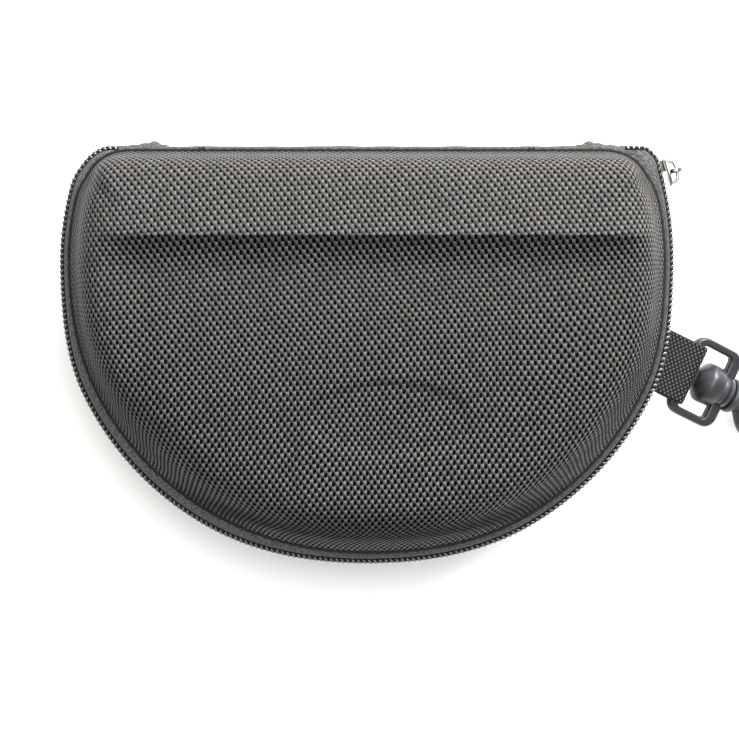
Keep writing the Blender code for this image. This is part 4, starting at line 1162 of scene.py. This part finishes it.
def make_strap(kit):
    """One length of webbing folded round the hook's bar, with its woven floats as real relief."""
    line = strap_line()
    outward = left_of(line)
    along = lengths(line)
    across = np.linspace(-STRAP_HALF_WIDE, STRAP_HALF_WIDE, 94)
    cell_s, cell_t = along / FLOAT_ALONG, across / FLOAT_ACROSS
    over = np.cos(np.pi * cell_s)[:, None] * np.cos(np.pi * cell_t)[None, :]
    ribs = np.abs(np.cos(np.pi * cell_t))[None, :] ** 0.5
    height = np.clip(0.5 + 0.5 * over, 0.0, 1.0) * 0.75 + 0.25 * ribs
    edge = 1.0 - np.clip((np.abs(across) - STRAP_HALF_WIDE + 0.7) / 0.7, 0.0, 1.0) ** 2
    half = 0.5 * np.sqrt(np.clip(edge, 0.02, 1.0))[None, :]
    faces_out = half + (height - 0.6) * FLOAT_RISE * np.sqrt(edge)[None, :]
    points = []
    for reach in (faces_out, -half * np.ones_like(faces_out)):
        u = line[:, :1] + outward[:, :1] * reach
        w = line[:, 1:] + outward[:, 1:] * reach
        v = np.broadcast_to(across[None, :], u.shape)
        points.append(np.stack([u, v, w], axis=-1).reshape(-1, 3))
    rows, columns = faces_out.shape
    top = strip_faces(rows, columns)
    count = rows * columns
    grid = np.arange(count).reshape(rows, columns)
    loop = np.concatenate([grid[0, :], grid[1:, -1], grid[-1, -2::-1], grid[-2:0:-1, 0]])
    after = np.roll(loop, -1)
    rim = np.stack([loop, after, after + count, loop + count], axis=1)
    faces = np.vstack([top[:, ::-1], top + count, rim])
    matrix = strap_matrix()
    world = to_world(bend_root(np.vstack(points)), matrix)
    uv = np.stack(np.broadcast_arrays(along[:, None], across[None, :]), axis=-1).reshape(-1, 2)
    item = make_mesh("webbing_strap", world, faces.tolist(), kit["webbing"], 70.0, np.vstack([uv, uv]))
    values = item.data.attributes.new("float_height", "FLOAT", "POINT")
    both = np.concatenate([height.ravel(), np.full(count, 0.5)]).astype(np.float32)
    values.data.foreach_set("value", both)
    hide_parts("webbing_root", "webbing_loop")
    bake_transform(item)


def bend_root(points):
    """Bends the webbing's inner end level, so that it goes straight into the seam."""
    droop = math.asin(-Vector(JOINTS["hook_swivel"]["axis"]).normalized().z)
    start, end = ROOT_BEND
    u, w = points[:, 0], points[:, 2]
    turn = droop * np.clip((end - u) / (end - start), 0.0, 1.0)
    beyond = np.maximum(start - u, 0.0)
    radius = (end - start) / droop
    arc_u = end - radius * np.sin(turn) - beyond * math.cos(droop)
    arc_w = radius * (1.0 - np.cos(turn)) + beyond * math.sin(droop)
    bent = points.copy()
    bent[:, 0] = np.where(u < end, arc_u + w * np.sin(turn), u)
    bent[:, 2] = np.where(u < end, arc_w + w * np.cos(turn), w)
    return bent


# Turned parts of the hook, as (place along the axis, radius).
BOSS_PROFILE = ((22.7, 0.0), (22.7, 4.3), (22.9, 4.75), (23.4, 4.9), (24.2, 4.9), (24.45, 4.6), (24.9, 4.6),
                (25.1, 4.9), (26.2, 4.9), (26.6, 4.7), (26.8, 4.3), (26.8, 0.0))
STUD_PROFILE = ((14.7, 0.0), (14.7, 2.4), (14.9, 2.8), (17.3, 5.9), (17.8, 6.2), (18.8, 6.3), (21.7, 6.2),
                (22.1, 6.0), (22.3, 5.6), (22.4, 2.6), (22.5, 2.5), (27.1, 2.5), (27.1, 4.6), (27.3, 5.0),
                (27.7, 5.3), (28.9, 5.3), (29.3, 5.1), (29.6, 4.6), (30.2, 3.9), (31.0, 3.7), (33.0, 3.7),
                (33.4, 3.5), (33.5, 3.0), (33.5, 0.0))
RIVET_PROFILE = ((-3.5, 0.0), (-3.45, 0.7), (-3.2, 1.15), (-3.0, 1.2), (-3.0, 0.8), (3.0, 0.8), (3.0, 1.2),
                 (3.2, 1.15), (3.45, 0.7), (3.5, 0.0))
CHEEK_SHAPE = ((31.0, 1.0), (37.2, 0.6), (37.9, 4.0), (37.3, 8.0), (35.9, 9.3), (33.8, 9.2), (32.0, 7.6),
               (31.0, 4.4), (31.0, 1.0))
WEB_SHAPE = ((31.0, -1.5), (36.6, -4.5), (38.4, -3.4), (37.0, 1.9), (32.2, 2.1))


def make_ring(kit):
    """The oblong ring with its swivel boss."""
    matrix = strap_matrix()
    outer = rounded_box((9.3, -12.4), (26.7, 12.4), 4.0)
    inner = rounded_box((12.5, -10.0), (22.9, 10.0), 1.2)
    ring = plate("hook_ring", [outer, inner], 1.6, 0.85, matrix, kit["black_plastic"], 6)
    boss = lathe("hook_ring_boss", BOSS_PROFILE, matrix, kit["black_plastic"])
    finish_piece(ring, "swivel_frame", "black_plastic", "hook_frame")
    finish_piece(boss, "swivel_frame", "black_plastic")


HOOK_BEND_U, HOOK_BEND_RADIUS, HOOK_WIRE = 49.0, 7.5, 2.6
GATE_PIN, GATE_TIP = (35.0, 6.9), (45.0, 7.3)
RIDGE_START, RIDGE_PITCH, RIDGE_HEIGHT = 38.6, 1.3, 8.72  # the thumb ridges on the gate's back


def make_hook(kit):
    """Snap-in head, collar, neck and the bent arm, with the gate's cheeks."""
    matrix = strap_matrix()
    stud = lathe("hook_stud", STUD_PROFILE, matrix, kit["black_plastic"])
    bend = arc(HOOK_BEND_U, 0.0, HOOK_BEND_RADIUS, -math.pi / 2.0, math.pi / 2.0, 14)
    route = smooth_line([(31.5, 0.0), (34.0, -3.0), (37.2, -6.2), (41.0, -7.4), (45.0, -7.5)] + bend
                        + [(46.9, HOOK_BEND_RADIUS)], 70)
    line = np.column_stack([route, np.zeros(len(route))])
    along = lengths(line)
    thick = HOOK_WIRE * (1.0 - 0.12 * smoothstep(along, 12.0, 60.0))
    thick *= np.sqrt(np.clip((along[-1] - along + 0.15) / 1.4, 0.02, 1.0))
    arm = tube_mesh("hook_arm", line, alike((0.0, 0.0, 1.0), line), thick, 24, kit["black_plastic"])
    arm.matrix_world = matrix
    pieces = [stud, arm]
    cheek = [tuple(point) for point in smooth_line(CHEEK_SHAPE, 40)[:-1]]
    for side in (1.0, -1.0):
        offset = Matrix.Translation((0.0, 0.0, side * 2.6 * MM))
        pieces.append(plate("hook_cheek", [cheek], 0.5, 0.22, matrix @ offset, kit["black_plastic"]))
    pieces.append(plate("hook_web", [WEB_SHAPE], 3.0, 0.5, matrix, kit["black_plastic"]))
    finish_piece(join("hook_arm_and_stud", pieces), "hook", "black_plastic", "hook_body")


def make_gate(kit):
    """The sprung gate with its thumb ridges."""
    matrix = strap_matrix()
    near = arc(*GATE_PIN, 2.0, math.pi / 2.0, 1.5 * math.pi, 12)
    far = arc(*GATE_TIP, 1.2, -math.pi / 2.0, math.pi / 2.0, 10)
    hole = arc(*GATE_PIN, 1.1, 0.0, TAU, 20)[:-1]
    body = plate("gate_blade", [near + far, hole], 1.8, 0.45, matrix, kit["black_plastic"])
    ridges = [body]
    for index in range(4):
        u = RIDGE_START + index * RIDGE_PITCH
        place = matrix @ Matrix.Translation((u * MM, RIDGE_HEIGHT * MM, 0.0))
        ridges.append(plate("gate_ridge", [rounded_box((-0.28, -0.45), (0.28, 0.28), 0.2, 4)], 1.4, 0.1, place,
                            kit["black_plastic"], 2))
    finish_piece(join("gate_lever", ridges), "gate", "black_plastic", "hook_gate")


def make_gate_spring(kit):
    """The leaf spring, from its root in the hook to its tip by the gate."""
    matrix = strap_matrix()
    line = smooth_line(((33.0, 2.8), (34.6, 2.8), (36.3, 2.85), (38.6, 3.8), (40.7, 4.8)), 26)
    side = left_of(line) * 0.18
    rings = []
    for reach, w in ((-1.0, -1.2), (1.0, -1.2), (1.0, 1.2), (-1.0, 1.2)):
        rings.append(np.column_stack([line + side * reach, np.full(len(line), w)]))
    world = to_world(np.stack(rings, axis=1).reshape(-1, 3), matrix)
    item = make_mesh("gate_leaf_spring", world, tube_faces(len(line), 4), kit["spring_steel"])
    item.data.shade_flat()
    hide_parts("gate_spring")
    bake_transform(item)


def make_gate_pin(kit):
    """The rivet that the gate turns on, with domed heads."""
    place = Matrix.Translation((GATE_PIN[0] * MM, GATE_PIN[1] * MM, 0.0))
    upright = strap_matrix() @ place @ Matrix.Rotation(-TAU / 4.0, 4, "Y")
    pin = lathe("gate_rivet", RIVET_PROFILE, upright, kit["spring_steel"], 32)
    finish_piece(pin, "hook", "spring_steel", "gate_pin")


# ---- stage, light and camera


CAMERA_PLACE = (0.73, -4.84, 552.0)
CAMERA_SPAN = 217.0  # millimetres that the picture's side covers at the zip's height
FLOOR_REACH, FLOOR_Z = 3000.0, -0.05
AIM = (0.0, 0.0, 30.0)  # what both lights point at


def make_stage():
    nodes = Nodes("pale_floor", (0.86, 0.855, 0.85), 0.75)
    cloud = nodes.noise(nodes.place(), 0.004, 2.0)
    nodes.set(Base_Color=nodes.blend(nodes.between(cloud, 0.3, 0.7), (0.86, 0.85, 0.84), (0.88, 0.878, 0.875)))
    corners = [(x * FLOOR_REACH, y * FLOOR_REACH, FLOOR_Z) for x, y in ((-1, -1), (1, -1), (1, 1), (-1, 1))]
    floor = make_mesh("floor", corners, [(0, 1, 2, 3)], nodes.material)


def area_light(name, place, size, power, colour):
    data = bpy.data.lights.new(name, "AREA")
    data.shape = "RECTANGLE"
    data.size, data.size_y = size[0] * MM, size[1] * MM
    data.energy = power
    data.color = colour
    item = add_object(name, data)
    item.location = Vector(place) * MM
    item.rotation_euler = (Vector(AIM) - Vector(place)).to_track_quat("-Z", "Y").to_euler()


def make_light():
    world = bpy.data.worlds.new("studio")
    world.use_nodes = True
    background = world.node_tree.nodes["Background"]
    background.inputs["Color"].default_value = (1.0, 0.985, 0.97, 1.0)
    background.inputs["Strength"].default_value = 0.85
    bpy.context.scene.world = world
    area_light("window", (520.0, 820.0, 600.0), (900.0, 500.0), 38.0, (1.0, 0.99, 0.975))
    area_light("ceiling", (60.0, 280.0, 1300.0), (900.0, 800.0), 15.0, (1.0, 0.985, 0.97))


def make_camera():
    data = bpy.data.cameras.new("camera")
    data.lens = data.sensor_width * (CAMERA_PLACE[2] - RIM_Z) / CAMERA_SPAN
    data.clip_start, data.clip_end = 0.01, 20.0
    item = add_object("camera", data)
    item.location = Vector(CAMERA_PLACE) * MM
    bpy.context.scene.camera = item
    bpy.context.scene.view_settings.view_transform = "Standard"
    bpy.context.scene.view_settings.look = "None"


# ---- assembly


def make_materials():
    return {
        "ballistic_nylon": nylon_material(),
        "eva_foam": foam_material(),
        "lining": pile_material("lining", (0.038, 0.038, 0.040)),
        "binding": tape_material("binding", (0.024, 0.024, 0.026), 0.8, 0.0),
        "zipper_tape": tape_material("zipper_tape", (0.084, 0.084, 0.083)),
        "zipper_coil": coil_material(),
        "nickel": metal_material("nickel", (0.25, 0.242, 0.23), 0.16, 0.32),
        "webbing": webbing_material(),
        "black_plastic": plastic_material(),
        "spring_steel": metal_material("spring_steel", (0.55, 0.55, 0.56), 0.22, 0.42),
        "thread": thread_material(),
    }


def main():
    make_camera()
    make_light()
    make_stage()
    kit = make_materials()
    for prefix, side, body in (("back", -1, "base"), ("lid", 1, "lid")):
        make_shell(prefix, side, body, kit)
        make_binding(prefix, side, body, kit)
        make_zip_half(prefix, side, body, kit)
    make_hinge_strip("hinge_cloth_outer", OUTER_STRIP_PROFILE, kit, "zipper_tape", "hinge_strip_outer", 0.22)
    make_hinge_strip("hinge_cloth_inner", INNER_STRIP_PROFILE, kit, "binding", "hinge_strip_inner", 0.12)
    make_end_tab("zip_end_tab_left_cloth", "zipper_end_tab_left", False, kit)
    make_end_tab("zip_end_tab_right_cloth", "zipper_end_tab_right", True, kit)
    make_thread_ends(kit)
    make_slider(kit)
    make_pull(kit)
    make_ring(kit)
    make_strap(kit)
    make_hook(kit)
    make_gate(kit)
    make_gate_spring(kit)
    make_gate_pin(kit)


main()
